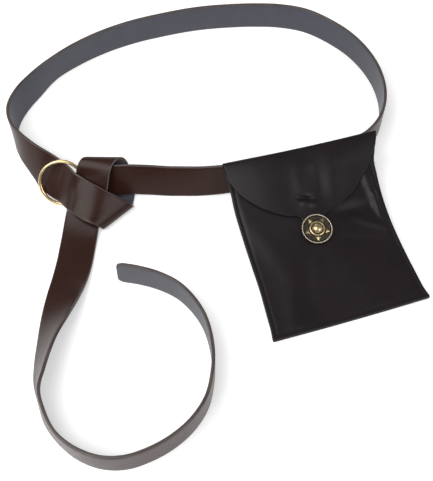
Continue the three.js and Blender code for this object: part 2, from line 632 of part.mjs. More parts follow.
const belt = new THREE.Group();
belt.add(named('belt_strap', pierced(makeStrap(), rivetHole), GRAIN, 0.38, 0));
belt.add(named('pouch_back_flap', pierced(makeBackAndFlap(), postHole()), POUCH_GRAIN, 0.5, 0));
belt.add(named('pouch_front', pierced(makeFront(), postHole()), POUCH_GRAIN, 0.5, 0));
belt.add(named('belt_loop_left', makeBeltLoop(-BELT_LOOP_SPACING / 2), POUCH_GRAIN, 0.55, 0));
belt.add(named('belt_loop_right', makeBeltLoop(BELT_LOOP_SPACING / 2), POUCH_GRAIN, 0.55, 0));

const ring = named('belt_ring',
  new THREE.TorusGeometry(ringRadius, RING_WIRE / 2, WIRE_SIDES, RING_STEPS), BRASS, 0.25, 1);
ring.position.copy(ringCentre);
ring.quaternion.setFromUnitVectors(vec(0, 0, 1), ringOut);
belt.add(ring);

const rivet = named('ring_rivet', makeRivet(), BRASS, 0.35, 1);
rivet.position.copy(ringCentre).add(inRing(rivetAlong, 0, 0));
rivet.quaternion.setFromUnitVectors(vec(0, 0, 1), ringOut);
belt.add(rivet);

const button = named('concho_button', makeButton(), BRASS, 0.4, 0.9);
button.position.copy(buttonPlace);
button.quaternion.setFromUnitVectors(vec(0, 0, 1), buttonOut);
belt.add(button);

// The origin goes under the middle of the whole part
belt.updateMatrixWorld(true);
const box = new THREE.Box3().setFromObject(belt, true);
const middle = box.getCenter(vec(0, 0, 0));
belt.position.set(-middle.x, -middle.y, -box.min.z);

export default belt;
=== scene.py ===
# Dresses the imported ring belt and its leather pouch, with a table and soft light
import math
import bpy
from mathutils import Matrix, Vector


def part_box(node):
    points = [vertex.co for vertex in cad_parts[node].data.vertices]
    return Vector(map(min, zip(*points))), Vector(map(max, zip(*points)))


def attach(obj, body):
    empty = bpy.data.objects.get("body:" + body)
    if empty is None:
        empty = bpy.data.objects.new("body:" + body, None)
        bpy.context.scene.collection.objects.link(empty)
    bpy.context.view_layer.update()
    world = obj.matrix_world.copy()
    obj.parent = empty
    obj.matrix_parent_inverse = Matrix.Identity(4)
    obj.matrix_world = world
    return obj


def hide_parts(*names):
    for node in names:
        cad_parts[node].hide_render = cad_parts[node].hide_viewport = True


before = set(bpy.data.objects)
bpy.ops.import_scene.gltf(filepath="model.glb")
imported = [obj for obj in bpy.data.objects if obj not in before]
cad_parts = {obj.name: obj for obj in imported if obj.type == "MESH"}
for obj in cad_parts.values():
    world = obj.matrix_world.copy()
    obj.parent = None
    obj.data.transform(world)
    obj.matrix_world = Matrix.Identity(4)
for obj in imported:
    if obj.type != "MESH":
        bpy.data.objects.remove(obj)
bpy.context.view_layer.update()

from types import SimpleNamespace

import bpy
import numpy as np
from mathutils import Matrix, Vector

bl_info = {
    "name": "Ring belt with medieval pouch",
    "version": (1, 0, 0),
    "blender": (4, 5, 0),
    "location": "View3D > Sidebar > Belt",
    "description": "Makes the strap, ring, pouch and button of a medieval belt pouch on its packed model",
    "category": "Add Mesh",
}

# Knot, in strap widths from the ring's middle, height from the table; then the direction of the strap's upper
# edge, and its width as a share
FRONT_OF_KNOT = [
    (1.196, 0.018, 0.613, 0, 0.56, 0.83, 1),
    (1.463, 0.032, 0.640, 0, 0.45, 0.89, 1),
    (1.796, 0.055, 0.643, 0, 0.38, 0.93, 1),
    (2.396, 0.085, 0.580, 0, 0.37, 0.93, 1),
]
INTO_RING = [
    (-1.671, 2.442, 0.502, -0.15, 0, 0.99, 1),
    (-1.604, 1.842, 0.501, 0, 0.02, 1, 1),
    (-1.287, 1.308, 0.498, 0.2, 0.12, 0.97, 1),
    (-0.921, 0.908, 0.475, 0.32, 0.28, 0.9, 1),
    (-0.587, 0.562, 0.525, 0.46, 0.44, 0.77, 1.02),
]
# Through the ring: along its width, up its slope, out of its face, the edge in the same three, and the width
THROUGH_RING = [
    (-0.333, 0.195, -0.173, 0.54, 0.84, -0.04, 1.06),
    (-0.133, 0.072, -0.080, 0.52, 0.85, 0.02, 1.08),
    (0.033, -0.015, 0.067, 0.49, 0.87, 0.12, 1.08),
    (0.200, -0.090, 0.240, 0.47, 0.88, 0.23, 1.04),
]
OVER_AND_UNDER = [
    (0.458, -0.492, 0.733, 0.47, 0.72, 0.51, 1),
    (0.806, -0.727, 0.700, 0.49, 0.77, 0.41, 1.02),
    (1.110, -0.858, 0.605, 0.57, 0.78, 0.24, 1.04),
    (1.296, -0.890, 0.500, 0.64, 0.76, 0.1, 1.09),
    (1.457, -0.919, 0.385, 0.71, 0.7, 0, 1.12),
    (1.566, -0.930, 0.260, 0.72, 0.69, 0, 1.15),
    (1.612, -0.905, 0.165, 0.72, 0.69, 0, 1.15),
    (1.602, -0.852, 0.085, 0.72, 0.69, 0, 1.13),
    (1.575, -0.725, 0.053, 0.77, 0.64, 0, 1.1),
    (1.565, -0.500, 0.055, 0.88, 0.47, 0, 1.02),
    (1.560, -0.158, 0.057, 0.96, 0.28, 0.03, 1),
    (1.510, 0.085, 0.147, 0.98, 0.17, 0.1, 1),
    (1.460, 0.212, 0.400, 0.99, 0.1, 0.06, 1),
    (1.415, 0.325, 0.700, 0.99, 0.05, 0.05, 1),
    (1.375, 0.425, 0.947, 0.99, 0.02, 0.03, 1),
    (1.283, 0.452, 1.093, 0.99, 0, 0, 1),
    (1.109, 0.345, 1.210, 1, -0.02, 0, 1),
    (0.989, 0.165, 1.160, 1, -0.05, 0.08, 1),
    (0.923, -0.018, 0.973, 1, -0.08, 0.2, 1),
    (0.869, -0.190, 0.800, 1, -0.1, 0.13, 1),
    (0.809, -0.358, 0.597, 1, -0.13, 0.06, 1),
    (0.738, -0.568, 0.400, 1, -0.17, 0.01, 1),
    (0.645, -0.855, 0.262, 1, -0.17, 0, 1),
    (0.592, -1.175, 0.162, 1, -0.18, 0, 1),
    (0.556, -1.508, 0.090, 1, -0.12, 0, 1),
    (0.516, -1.875, 0.055, 1, -0.1, 0, 1),
]
# Where small kinks are evened out: rows from the knot's start, and how far each round goes
EVENED_ROWS = [(0, 0), (2, 0.6), (12, 0.6), (14, 0.35), (20, 0.35), (24, 0)]
# End of the strap round the ring's wire, in wrap radii: along the ring's width, out of its face
WRAP = [
    (1.72, -1), (0.95, -1), (-0.48, -1), (-1.33, -0.73), (-1.64, 0), (-1.33, 0.73), (-0.48, 1),
]
# From the wrap to the leaning strap, in strap widths: along, up the slope, out, edge out, width
LEAVING_WRAP = [(0.750, 0, 0.080, 0.02, 0.56), (0.933, 0, 0.033, 0.06, 0.8)]
UPRIGHT = (0, 0, 1)
# Waist loop from the ring's middle, in its width and depth; then the edge's direction where not upright
BEFORE_POUCH = [(0.274, 0.015, 0, 0.37, 0.93), (0.345, 0.015, 0, 0.35, 0.94)]
ROUND_WAIST = [
    (0.766, 0.217), (0.802, 0.290), (0.821, 0.373), (0.826, 0.460), (0.817, 0.562), (0.793, 0.664),
    (0.754, 0.761), (0.698, 0.847), (0.634, 0.912), (0.561, 0.941), (0.494, 0.946), (0.415, 0.940),
    (0.327, 0.922), (0.239, 0.887), (0.152, 0.841), (0.079, 0.786), (0.005, 0.709), (-0.057, 0.620),
    (-0.100, 0.525, -0.12, 0.09, 0.98), (-0.132, 0.438, -0.18, 0.06, 0.98),
]
# Strap behind the pouch: across in pouch widths, back in strap widths, edge back, lift on the belt loop
BEHIND_POUCH = [
    (-0.43, 0.077, 0.29, 0.6), (-0.27, 0.012, 0.01, 1), (-0.12, 0, 0, 1), (0.12, 0, 0, 1),
    (0.24, 0.004, 0, 1), (0.30, 0.04, 0, 1), (0.373, 0.13, 0, 0.7),
]
# Free end: side in the curl's widths, near in the tail's reach, then the edge's direction as above
FREE_END = [
    (0.108, 0.287, 1, -0.12, 0.02), (0.090, 0.354, 1, -0.16, 0.12), (0.061, 0.428, 1, -0.22, 0.34),
    (0.029, 0.507, 1, -0.28, 0.72), (0.002, 0.586, 1, -0.22, 1.25), (-0.016, 0.661, 1, -0.1, 1.75),
    (-0.022, 0.723, 0.9, 0, 2.2), (-0.010, 0.789, 0.35, 0.12, 2.6), (0.033, 0.856, 0.08, 0.06, 1),
    (0.114, 0.922), (0.245, 0.976), (0.378, 1), (0.503, 0.999), (0.628, 0.976), (0.753, 0.937),
    (0.875, 0.874), (0.944, 0.810), (0.975, 0.735), (0.982, 0.673), (0.967, 0.605), (0.926, 0.533),
    (0.857, 0.472), (0.767, 0.422), (0.654, 0.388), (0.526, 0.366), (0.388, 0.353),
]

# Columns across the strap's sides, and the degrees at which its long edges and its ends are rounded
SECTION_COLUMNS = 13
EDGE_ARC = [90, 60, 30, 0]
END_ARC = [0, 30, 60, 80]

# Steps round the ring, its wire and the rivet; then where the wire is joined and how far that reaches, in
# radians, and how deep the dip is there as a share of the wire
RING_STEPS, WIRE_STEPS, RIVET_STEPS = 144, 24, 48
JOIN_PLACE, JOIN_REACH, JOIN_DEPTH = 0.3, 0.03, 0.03

# Middle of the pouch's fold from the ring's middle, as shares of the waist loop's width and depth
POUCH_PLACE = (0.595, 0.093)
# Pouch outline: along as a share of its length, left and right edge as shares of half its width
OUTLINE = [
    (-0.04, -1.005, 1), (0.05, -1, 0.93), (0.10, -0.992, 0.885), (0.19, -1, 0.866), (0.35, -0.998, 0.848),
    (0.52, -0.994, 0.85), (0.70, -0.992, 0.87), (0.85, -1.008, 0.895), (0.95, -1.02, 0.915),
    (1, -1.035, 0.94),
]
# Back, from the fold down: middle along and height, edge along and height, slant of the row across
BACK = [
    (-0.018, 0.976, -0.040, 0.895, 0.020), (0.001, 0.800, -0.002, 0.772, 0.018),
    (0.009, 0.600, 0.046, 0.688, 0.016), (0.023, 0.400, 0.094, 0.608, 0.014),
    (0.054, 0.215, 0.146, 0.522, 0.012), (0.110, 0.090, 0.204, 0.438, 0.010),
    (0.195, 0.028, 0.278, 0.342, 0.008), (0.330, 0.005, 0.400, 0.230, 0.004),
    (0.470, 0, 0.528, 0.155, 0), (0.645, 0, 0.687, 0.098, -0.006),
    (0.820, 0, 0.852, 0.060, -0.012), (1, 0, 1, 0.038, -0.017),
]
# Middle of the front from the mouth down, row for row with the back from its third row on: along, height
FRONT = [
    (0.068, 0.765), (0.110, 0.692), (0.160, 0.618), (0.216, 0.545), (0.287, 0.470), (0.406, 0.378),
    (0.533, 0.300), (0.688, 0.210), (0.853, 0.118), (1, 0.053),
]
MOUTH_ROW = 2
# Flap, from the fold to its tip: middle along and height, edge along and height, left and right limit
FLAP = [
    (-0.010, 1.003, -0.054, 0.916, -1.005, 1), (0.052, 0.977, 0.017, 0.875, -0.994, 0.978),
    (0.161, 0.898, 0.128, 0.788, -0.985, 0.896), (0.290, 0.782, 0.274, 0.675, -0.910, 0.770),
    (0.420, 0.672, 0.406, 0.582, -0.790, 0.620), (0.538, 0.582, 0.531, 0.498, -0.634, 0.478),
    (0.650, 0.510, 0.650, 0.428, -0.418, 0.269), (0.690, 0.490, 0.690, 0.405, -0.276, 0.142),
    (0.746, 0.462, 0.746, 0.372, -0.239, 0.030), (0.885, 0.410, 0.885, 0.310, -0.224, 0.015),
    (0.996, 0.372, 0.996, 0.268, -0.164, -0.045),
]
BUTTON_ALONG = 0.885
BUTTON_ACROSS = -0.109
# Belt loop seen from its side: forward in strap widths, height over the strap as a share of the fold's stand
LOOP_TAB = [(-0.040, 0.40), (-0.036, 0.30), (-0.052, 0.20)]
LOOP_UNDER = [0.22, 0.6, 0.78]
# Its bend over the strap in degrees, and its bend at the table: forward and up in the bend's radii
LOOP_SHOULDER = [80, 55, 28, 0]
LOOP_FOOT = [(0, 1.4), (0.2, 0.5), (1, 0)]
LOOP_STEPS, LOOP_COLUMNS = 90, 17

# How the leather swells: where the panel's swelling ends, its two powers, and the flap's power
PANEL_EDGE, PANEL_RISE, PANEL_ROUND, FLAP_ROUND = 0.94, 2.4, 1.4, 2.2
# Columns across a leather and pieces between its rows, as made and where the button's place is sought
FLAP_GRID = (101, 9)
FRONT_GRID = (121, 11)
SOUGHT_GRID = (201, 24)
# Width of the seam's groove as a share of its inset
SEAM_WIDTH = 0.4
MILLIMETRE = 0.001

# Soft folds and dents of the pouch's leather. Each runs from one place to another, across in halves of the
# pouch's width and along in its length; then its reach and its rise in millimetres
FLAP_FOLDS = [
    (-0.12, 0.10, -0.16, 0.30, 7, 1.3),
    (0.34, 0.10, 0.24, 0.30, 8, 1.4),
    (0.10, 0.08, 0.06, 0.24, 7, -1.2),
    (-0.62, 0.10, -0.50, 0.30, 14, 0.7),
    (-0.20, 0.250, -0.07, 0.265, 1.9, -2.4),
    (-0.16, 0.285, -0.06, 0.295, 2.4, 1.0),
]
FRONT_FOLDS = [
    (0.18, 0.37, 0.62, 0.37, 6.5, -2.4),
    (0.41, 0.42, 0.74, 0.51, 3.6, 2.0),
    (0.20, 0.54, 0.74, 0.61, 5.5, -1.3),
    (0.71, 0.12, 0.745, 0.30, 4.5, 2.6),
    (0.745, 0.30, 0.765, 0.45, 3.2, 2.2),
    (-0.92, 0.25, -0.60, 0.62, 10, 0.8),
    (-0.58, 0.72, -0.74, 0.92, 9, 2.0),
    (-0.40, 0.66, -0.50, 0.86, 8, -1.2),
    (0.10, 0.70, 0.30, 0.95, 18, 1.0),
    (-0.30, 0.55, -0.10, 0.80, 16, -1.0),
]

# Button, from its back to the top of its dome: shares of its radius and height, how bright it is rubbed
BUTTON_RISE = [
    (0, 0, 0.2), (0.9, 0, 0.2), (0.95, 0.03, 0.3), (0.96, 0.09, 0.4), (0.93, 0.16, 0.3), (0.88, 0.19, 0.2),
    (0.850, 0.16, 0.05), (0.700, 0.17, 0.04), (0.580, 0.19, 0.04), (0.550, 0.20, 0.05), (0.525, 0.28, 0.3),
    (0.500, 0.38, 0.6), (0.465, 0.45, 0.8), (0.425, 0.47, 0.8), (0.390, 0.44, 0.4), (0.370, 0.40, 0.1),
    (0.350, 0.43, 0.15), (0.330, 0.55, 0.6), (0.285, 0.72, 0.85), (0.210, 0.87, 0.9), (0.110, 0.97, 0.9),
    (0, 1, 0.9),
]
BUTTON_STEPS = 96
# How bright the hidden post is rubbed
HIDDEN_RUB = 0.3
# Corners of one star point: out and aside as shares of the button's radius, up as a share of its height, rub
STAR_CORNERS = [
    (0.56, -0.20, 0.15, 0.1), (0.56, 0.20, 0.15, 0.1), (0.845, 0, 0.15, 0.1), (0.565, -0.175, 0.26, 0.45),
    (0.565, 0.175, 0.26, 0.45), (0.83, 0, 0.25, 0.6), (0.57, 0, 0.36, 0.75), (0.66, 0, 0.35, 0.75),
]
STAR_FACES = [(0, 1, 4, 6, 3), (0, 3, 5, 2), (1, 2, 5, 4), (3, 6, 7, 5), (6, 4, 5, 7), (0, 2, 1)]
# Rivet's head, from the middle of its underside to its top: share of its radius, share of its height
RIVET_RISE = [(0, 0), (0.90, 0), (1, 0.15), (0.96, 0.45), (0.78, 0.78), (0.45, 0.96), (0, 1)]

# Lights: name, place, size, and strength as a share of the key light
SOFTBOXES = [
    ("overhead_softbox", (-0.60, -0.45, 1.30), 1.1, 2.0),
    ("left_softbox", (-1.30, 0.10, 0.60), 0.6, 0.25),
    ("right_fill", (1.15, -0.75, 0.95), 0.9, 1.0),
    ("back_strip", (-0.35, 1.45, 0.6), 0.4, 0.25),
]


# Settings that a user would change

def length(name, description, default):
    """A length in the settings."""
    return bpy.props.FloatProperty(
        name=name, description=description, default=default, min=0, precision=5, unit="LENGTH")


def turn(name, description, degrees):
    """An angle in the settings."""
    return bpy.props.FloatProperty(
        name=name, description=description, default=math.radians(degrees), subtype="ANGLE")


def share(name, description, default, high=1):
    """A share, a strength or another plain number in the settings."""
    return bpy.props.FloatProperty(
        name=name, description=description, default=default, min=0, max=high, subtype="FACTOR")


def count(name, description, default):
    """A number of equal pieces in the settings."""
    return bpy.props.IntProperty(name=name, description=description, default=default, min=3)


def colour(name, description, default):
    """A colour in the settings."""
    return bpy.props.FloatVectorProperty(
        name=name, description=description, default=default, min=0, max=1, size=3, subtype="COLOR")


class BELT_PG_strap(bpy.types.PropertyGroup):
    """Sizes and colours of the strap"""
    width: length("Width", "Width of the strap", 0.030)
    thickness: length("Thickness", "Thickness that the other pieces make room for", 0.003)
    leather: length("Leather", "Thickness of the leather itself", 0.0027)
    edge_round: length("Edge rounding", "Radius of the burnished edges", 0.0008)
    loop_width: length("Loop width", "Width of the waist loop", 0.342)
    loop_depth: length("Loop depth", "Depth of the waist loop", 0.206)
    curl_width: length("Curl width", "Width of the curl at the free end", 0.132)
    tail_reach: length("Tail reach", "How far the free end reaches from the ring", 0.241)
    tongue_width: length("Tongue width", "Width of the end that goes round the ring", 0.014)
    section_step: length("Section step", "Distance between the strap's sections", 0.0016)
    end_corner: length("End corner", "Rounding of the free end's corners", 0.004)
    end_slant: length("End slant", "How far the free end is cut aslant", 0.0006)
    evening: count("Evening", "How often small kinks are evened out in the knot", 7)
    grain: colour("Grain side", "Colour of the outer side", (0.029, 0.0105, 0.0072))
    flesh: colour("Flesh side", "Colour of the inner side", (0.056, 0.057, 0.074))
    # The cut edge's colour is lighter than the grain side: partly the edge's own tone, partly a painted
    # highlight for the light line along the burnished edge
    edge: colour("Cut edge", "Colour of the burnished edges", (0.060, 0.044, 0.040))
    shine: share("Roughness", "Roughness of the grain side", 0.29)


class BELT_PG_ring(bpy.types.PropertyGroup):
    """Sizes and colours of the ring and its rivet"""
    wire: length("Wire", "Thickness of the ring's wire", 0.003)
    room: length("Room", "How much wider the ring is inside than the strap", 0.0042)
    lean: turn("Lean", "Lean of the ring from the table", 48)
    height: share("Height", "Height of its middle as a share of the strap's width", 0.567)
    rivet_head: length("Rivet head", "Diameter of the rivet's head", 0.005)
    rivet_rise: length("Rivet rise", "Height of the rivet's head", 0.0008)
    rivet_shank: length("Rivet shank", "Diameter of the rivet's shank", 0.0024)
    gap: length("Gap", "Room between pieces that touch", 0.0003)
    brass: colour("Brass", "Colour of the polished brass", (0.83, 0.64, 0.36))


class BELT_PG_pouch(bpy.types.PropertyGroup):
    """Sizes and colours of the pouch"""
    width: length("Width", "Width of the pouch", 0.134)
    length: length("Length", "Length of the pouch from its fold", 0.142)
    flap_length: length("Flap length", "Length of the flap with its tongue", 0.072)
    wall: length("Wall", "Thickness of the leather", 0.0018)
    fold_over_strap: length("Fold over strap", "How far the fold stands over the strap", 0.010)
    turn: turn("Turn", "Turn of the pouch on the table", 16)
    held: length("Held edge", "How far in from the sewn edges the leather keeps flat", 0.007)
    seam_inset: length("Seam inset", "How far in from the sewn edges the seam runs", 0.0026)
    seam_depth: length("Seam depth", "How deep the seam pulls the leather in", 0.0004)
    loop_width: length("Belt loop width", "Width of a belt loop", 0.016)
    loop_spacing: length("Belt loop spacing", "Distance between the belt loops", 0.046)
    grain: colour("Grain side", "Colour of the outer side", (0.0125, 0.0092, 0.0100))
    flesh: colour("Flesh side", "Colour of the inner side", (0.035, 0.028, 0.026))
    shine: share("Roughness", "Roughness of the outer side", 0.37)


class BELT_PG_button(bpy.types.PropertyGroup):
    """Sizes and colours of the button"""
    diameter: length("Diameter", "Diameter of the button", 0.026)
    height: length("Height", "Height of the button", 0.005)
    post: length("Post", "Diameter of the post", 0.004)
    post_head: length("Post head", "Diameter of the head inside the pouch", 0.008)
    post_head_thickness: length("Post head thickness", "Thickness of the head inside the pouch", 0.0008)
    beads: count("Rope turns", "Turns of the twisted rim", 60)
    star_points: count("Star points", "Points of the star", 5)
    dots: count("Stipple rows", "Rows of dots across the ground", 40)
    star_turn: turn("Star turn", "Turn of the star", -12)
    brass: colour("Brass", "Colour of the rubbed brass", (0.60, 0.47, 0.27))
    rim_brass: colour("Rim", "Colour of the twisted rim", (0.62, 0.56, 0.45))
    ground_brass: colour("Ground", "Colour of the dots on the ground", (0.24, 0.21, 0.17))
    patina: colour("Patina", "Colour of the brass in its hollows", (0.016, 0.013, 0.010))


class BELT_PG_stage(bpy.types.PropertyGroup):
    """Camera, floor and light"""
    camera_side: length("Camera side", "Camera's place to the right of the ring", 0.131875)
    camera_near: length("Camera near", "Camera's place in front of the ring", 0.42690)
    camera_height: length("Camera height", "Camera's height over the table", 0.65757)
    camera_tilt: turn("Camera tilt", "Camera's tilt up from straight down", 30)
    lens: share("Lens", "Focal length in millimetres", 67.36, 200)
    floor_colour: colour("Floor", "Colour of the floor", (0.97, 0.97, 0.97))
    floor_reach: length("Floor reach", "How far the floor reaches each way", 4)
    floor_glow: share("Floor glow", "How far the floor shines through, as on a light table", 0.35)
    key_light: share("Key light", "Strength of the lights in watts", 8, 100)
    sky: share("Surround", "Strength of the white surround", 0.30, 10)


# Shared shapes

def unit(arrows):
    """Arrows of length one."""
    return arrows / np.maximum(np.linalg.norm(arrows, axis=-1, keepdims=True), 1e-12)


def smooth(at, rows, places):
    """Smooth values between a table's rows at any places; the rows stand at the places in at."""
    at, rows, places = np.asarray(at, float), np.asarray(rows, float), np.asarray(places, float)
    step = np.diff(at)
    rise = np.diff(rows, axis=0) / step[:, None]
    inner = (rise[:-1] * step[1:, None] + rise[1:] * step[:-1, None]) / (step[1:] + step[:-1])[:, None]
    slope = np.vstack([rise[:1], inner, rise[-1:]])
    i = np.clip(np.searchsorted(at, places, side="right") - 1, 0, len(step) - 1)
    t = np.clip((places - at[i]) / step[i], 0, 1)[:, None]
    span = step[i][:, None]
    return ((2 * t**3 - 3 * t * t + 1) * rows[i] + (t**3 - 2 * t * t + t) * span * slope[i]
            + (3 * t * t - 2 * t**3) * rows[i + 1] + (t**3 - t * t) * span * slope[i + 1])


def eased(value):
    """From 0 to 1 with a soft start and end."""
    value = np.clip(value, 0, 1)
    return value * value * (3 - 2 * value)


def distances(points):
    """Distance of each point from the first, along the line of points."""
    return np.concatenate([[0], np.cumsum(np.linalg.norm(np.diff(points, axis=0), axis=1))])


def measures():
    """Sizes and directions that follow from the settings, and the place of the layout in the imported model."""
    scene = bpy.context.scene
    strap, ring, pouch = scene.belt_strap_settings, scene.belt_ring_settings, scene.belt_pouch_settings
    low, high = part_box("belt_ring")
    middle = np.array((low + high) / 2)
    lean, facing = ring.lean, pouch.turn
    m = SimpleNamespace(strap=strap, ring=ring, pouch=pouch, button=scene.belt_button_settings)
    m.ring_radius = (strap.width + ring.room + ring.wire) / 2
    m.ring_middle = middle
    m.table = middle - np.array([0, 0, strap.width * ring.height])
    m.wrap_radius = (ring.wire + strap.thickness) / 2 + ring.gap
    m.stack = pouch.wall + ring.gap
    m.fold_height = strap.width + pouch.fold_over_strap
    m.back_stand = (strap.thickness + pouch.wall) / 2 + 2 * ring.gap
    m.ring_axes = np.array([
        [1, 0, 0], [0, math.cos(lean), math.sin(lean)], [0, -math.sin(lean), math.cos(lean)]])
    side, away = POUCH_PLACE
    m.pouch_place = m.table + np.array([strap.loop_width * side, strap.loop_depth * away, 0])
    m.across = np.array([math.cos(facing), math.sin(facing), 0])
    m.along = np.array([math.sin(facing), -math.cos(facing), 0])
    return m


def on_pouch(m, across, along, height):
    """Places given across the pouch, along it and up from the table."""
    up = np.array([0, 0, 1.0])
    return (m.pouch_place + np.multiply.outer(across, m.across)
            + np.multiply.outer(along, m.along) + np.multiply.outer(height, up))


def make_piece(name, points, faces, finishes, bands=None, laid=None, rubbed=None):
    """A mesh object with its finishes, and its leather's flat place or its rub as attributes."""
    mesh = bpy.data.meshes.new(name)
    mesh.from_pydata(np.asarray(points).tolist(), [], faces)
    for finish in finishes:
        mesh.materials.append(finish)
    if bands is not None:
        mesh.polygons.foreach_set("material_index", np.asarray(bands, np.int32))
    mesh.polygons.foreach_set("use_smooth", np.ones(len(faces), bool))
    if laid is not None:
        mesh.attributes.new("laid_flat", "FLOAT_VECTOR", "POINT").data.foreach_set(
            "vector", np.asarray(laid, np.float32).ravel())
    if rubbed is not None:
        mesh.attributes.new("rubbed", "FLOAT", "POINT").data.foreach_set(
            "value", np.asarray(rubbed, np.float32).ravel())
    mesh.update()
    mesh.validate()
    piece = bpy.data.objects.new(name, mesh)
    bpy.context.scene.collection.objects.link(piece)
    return piece


def settle(piece, slot, *nodes):
    """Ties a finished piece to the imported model."""
    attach(piece, "root")
    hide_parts(*nodes)


def turned(profile, steps):
    """Points, faces and profile index of a shape turned on a lathe, closed at both poles."""
    around = np.linspace(0, 2 * math.pi, steps, endpoint=False)
    points = [(0, 0, profile[0][1])]
    row = [0]
    for i, (radius, height) in enumerate(profile[1:-1], 1):
        points += [(radius * math.cos(a), radius * math.sin(a), height) for a in around]
        row += [i] * steps
    points.append((0, 0, profile[-1][1]))
    row.append(len(profile) - 1)
    last = len(points) - 1
    faces = [(0, 1 + (j + 1) % steps, 1 + j) for j in range(steps)]
    for i in range(len(profile) - 3):
        first = 1 + i * steps
        faces += [(first + j, first + (j + 1) % steps, first + steps + (j + 1) % steps, first + steps + j)
                  for j in range(steps)]
    first = last - steps
    faces += [(first + j, first + (j + 1) % steps, last) for j in range(steps)]
    return np.array(points), faces, np.array(row)


def shell(grid, thickness, laid, rim_steps=5):
    """Closed leather of even thickness on both sides of a grid of points, with a round rim."""
    rows, columns = grid.shape[:2]
    total = rows * columns
    half = thickness / 2
    along = unit(np.gradient(grid, axis=0))
    across = unit(np.gradient(grid, axis=1))
    flat = grid.reshape(-1, 3)
    normal = unit(np.cross(along, across)).reshape(-1, 3)
    index = np.arange(total).reshape(rows, columns)
    border = np.concatenate([index[0, :-1], index[:-1, -1], index[-1, :0:-1], index[:0:-1, 0]])
    i, j = np.divmod(border, columns)
    sides = ((i == 0, -along), (i == rows - 1, along), (j == 0, -across), (j == columns - 1, across))
    away = unit(sum(np.where(there[:, None], arrows[i, j], 0) for there, arrows in sides))
    thick = np.concatenate([laid, np.full((total, 1), half)], axis=1)
    points = [flat + normal * half, flat - normal * half]
    flats = [thick, thick * (1, 1, -1)]
    loops = [border]
    for k in range(1, rim_steps):
        angle = math.pi * k / rim_steps
        loops.append(2 * total + (k - 1) * len(border) + np.arange(len(border)))
        points.append(flat[border] + away * half * math.sin(angle) + normal[border] * half * math.cos(angle))
        flats.append(thick[border] * (1, 1, math.cos(angle)))
    loops.append(border + total)
    quads = np.stack([index[:-1, :-1], index[1:, :-1], index[1:, 1:], index[:-1, 1:]], axis=-1).reshape(-1, 4)
    faces = [quads, quads[:, ::-1] + total]
    bands = [np.zeros(len(quads)), np.ones(len(quads))]
    for upper, lower in zip(loops[:-1], loops[1:]):
        faces.append(np.stack([upper, np.roll(upper, -1), np.roll(lower, -1), lower], axis=-1))
        bands.append(np.full(len(upper), 2))
    faces = np.concatenate(faces).tolist()
    return np.concatenate(points), faces, np.concatenate(bands), np.concatenate(flats)


# Materials

def feed(tree, target, inputs):
    """Feeds a node's inputs with numbers, colours or other nodes' outputs."""
    for key, value in inputs.items():
        if isinstance(value, bpy.types.NodeSocket):
            tree.links.new(value, target.inputs[key])
        else:
            target.inputs[key].default_value = value


def node(tree, kind, inputs=None, **settings):
    """Adds a node, sets its settings and feeds its inputs."""
    made = tree.nodes.new(kind)
    for name, value in settings.items():
        setattr(made, name, value)
    feed(tree, made, inputs or {})
    return made


def new_finish(name, inputs):
    """A material and its shader, with what is the same all over set on the shader."""
    finish = bpy.data.materials.new(name)
    finish.use_nodes = True
    shader = finish.node_tree.nodes["Principled BSDF"]
    feed(finish.node_tree, shader, inputs)
    return finish, finish.node_tree, shader


def shade(tint, factor):
    """A colour made darker or lighter."""
    return [min(1, channel * factor) for channel in tint]


def blend_colours(tree, factor, first, second):
    """Mix of two colours by a factor."""
    first, second = (
        value if isinstance(value, bpy.types.NodeSocket) else (*value, 1) for value in (first, second))
    return node(tree, "ShaderNodeMix", {0: factor, 6: first, 7: second}, data_type="RGBA").outputs[2]


def spread(tree, value, low, high, to_low, to_high):
    """A value moved from one range to another, held at its ends."""
    return node(tree, "ShaderNodeMapRange", {
        "Value": value, "From Min": low, "From Max": high, "To Min": to_low, "To Max": to_high}).outputs[0]


def noise(tree, place, scale, detail, rough=0.5):
    """Cloudy noise by a place."""
    return node(tree, "ShaderNodeTexNoise", {
        "Vector": place, "Scale": scale, "Detail": detail, "Roughness": rough}).outputs["Fac"]


def bump(tree, height, strength, distance, under=None):
    """Normals raised by a height, on top of the bump under it."""
    given = {} if under is None else {"Normal": under}
    return node(tree, "ShaderNodeBump", {
        "Height": height, "Strength": strength, "Distance": distance, **given}).outputs[0]


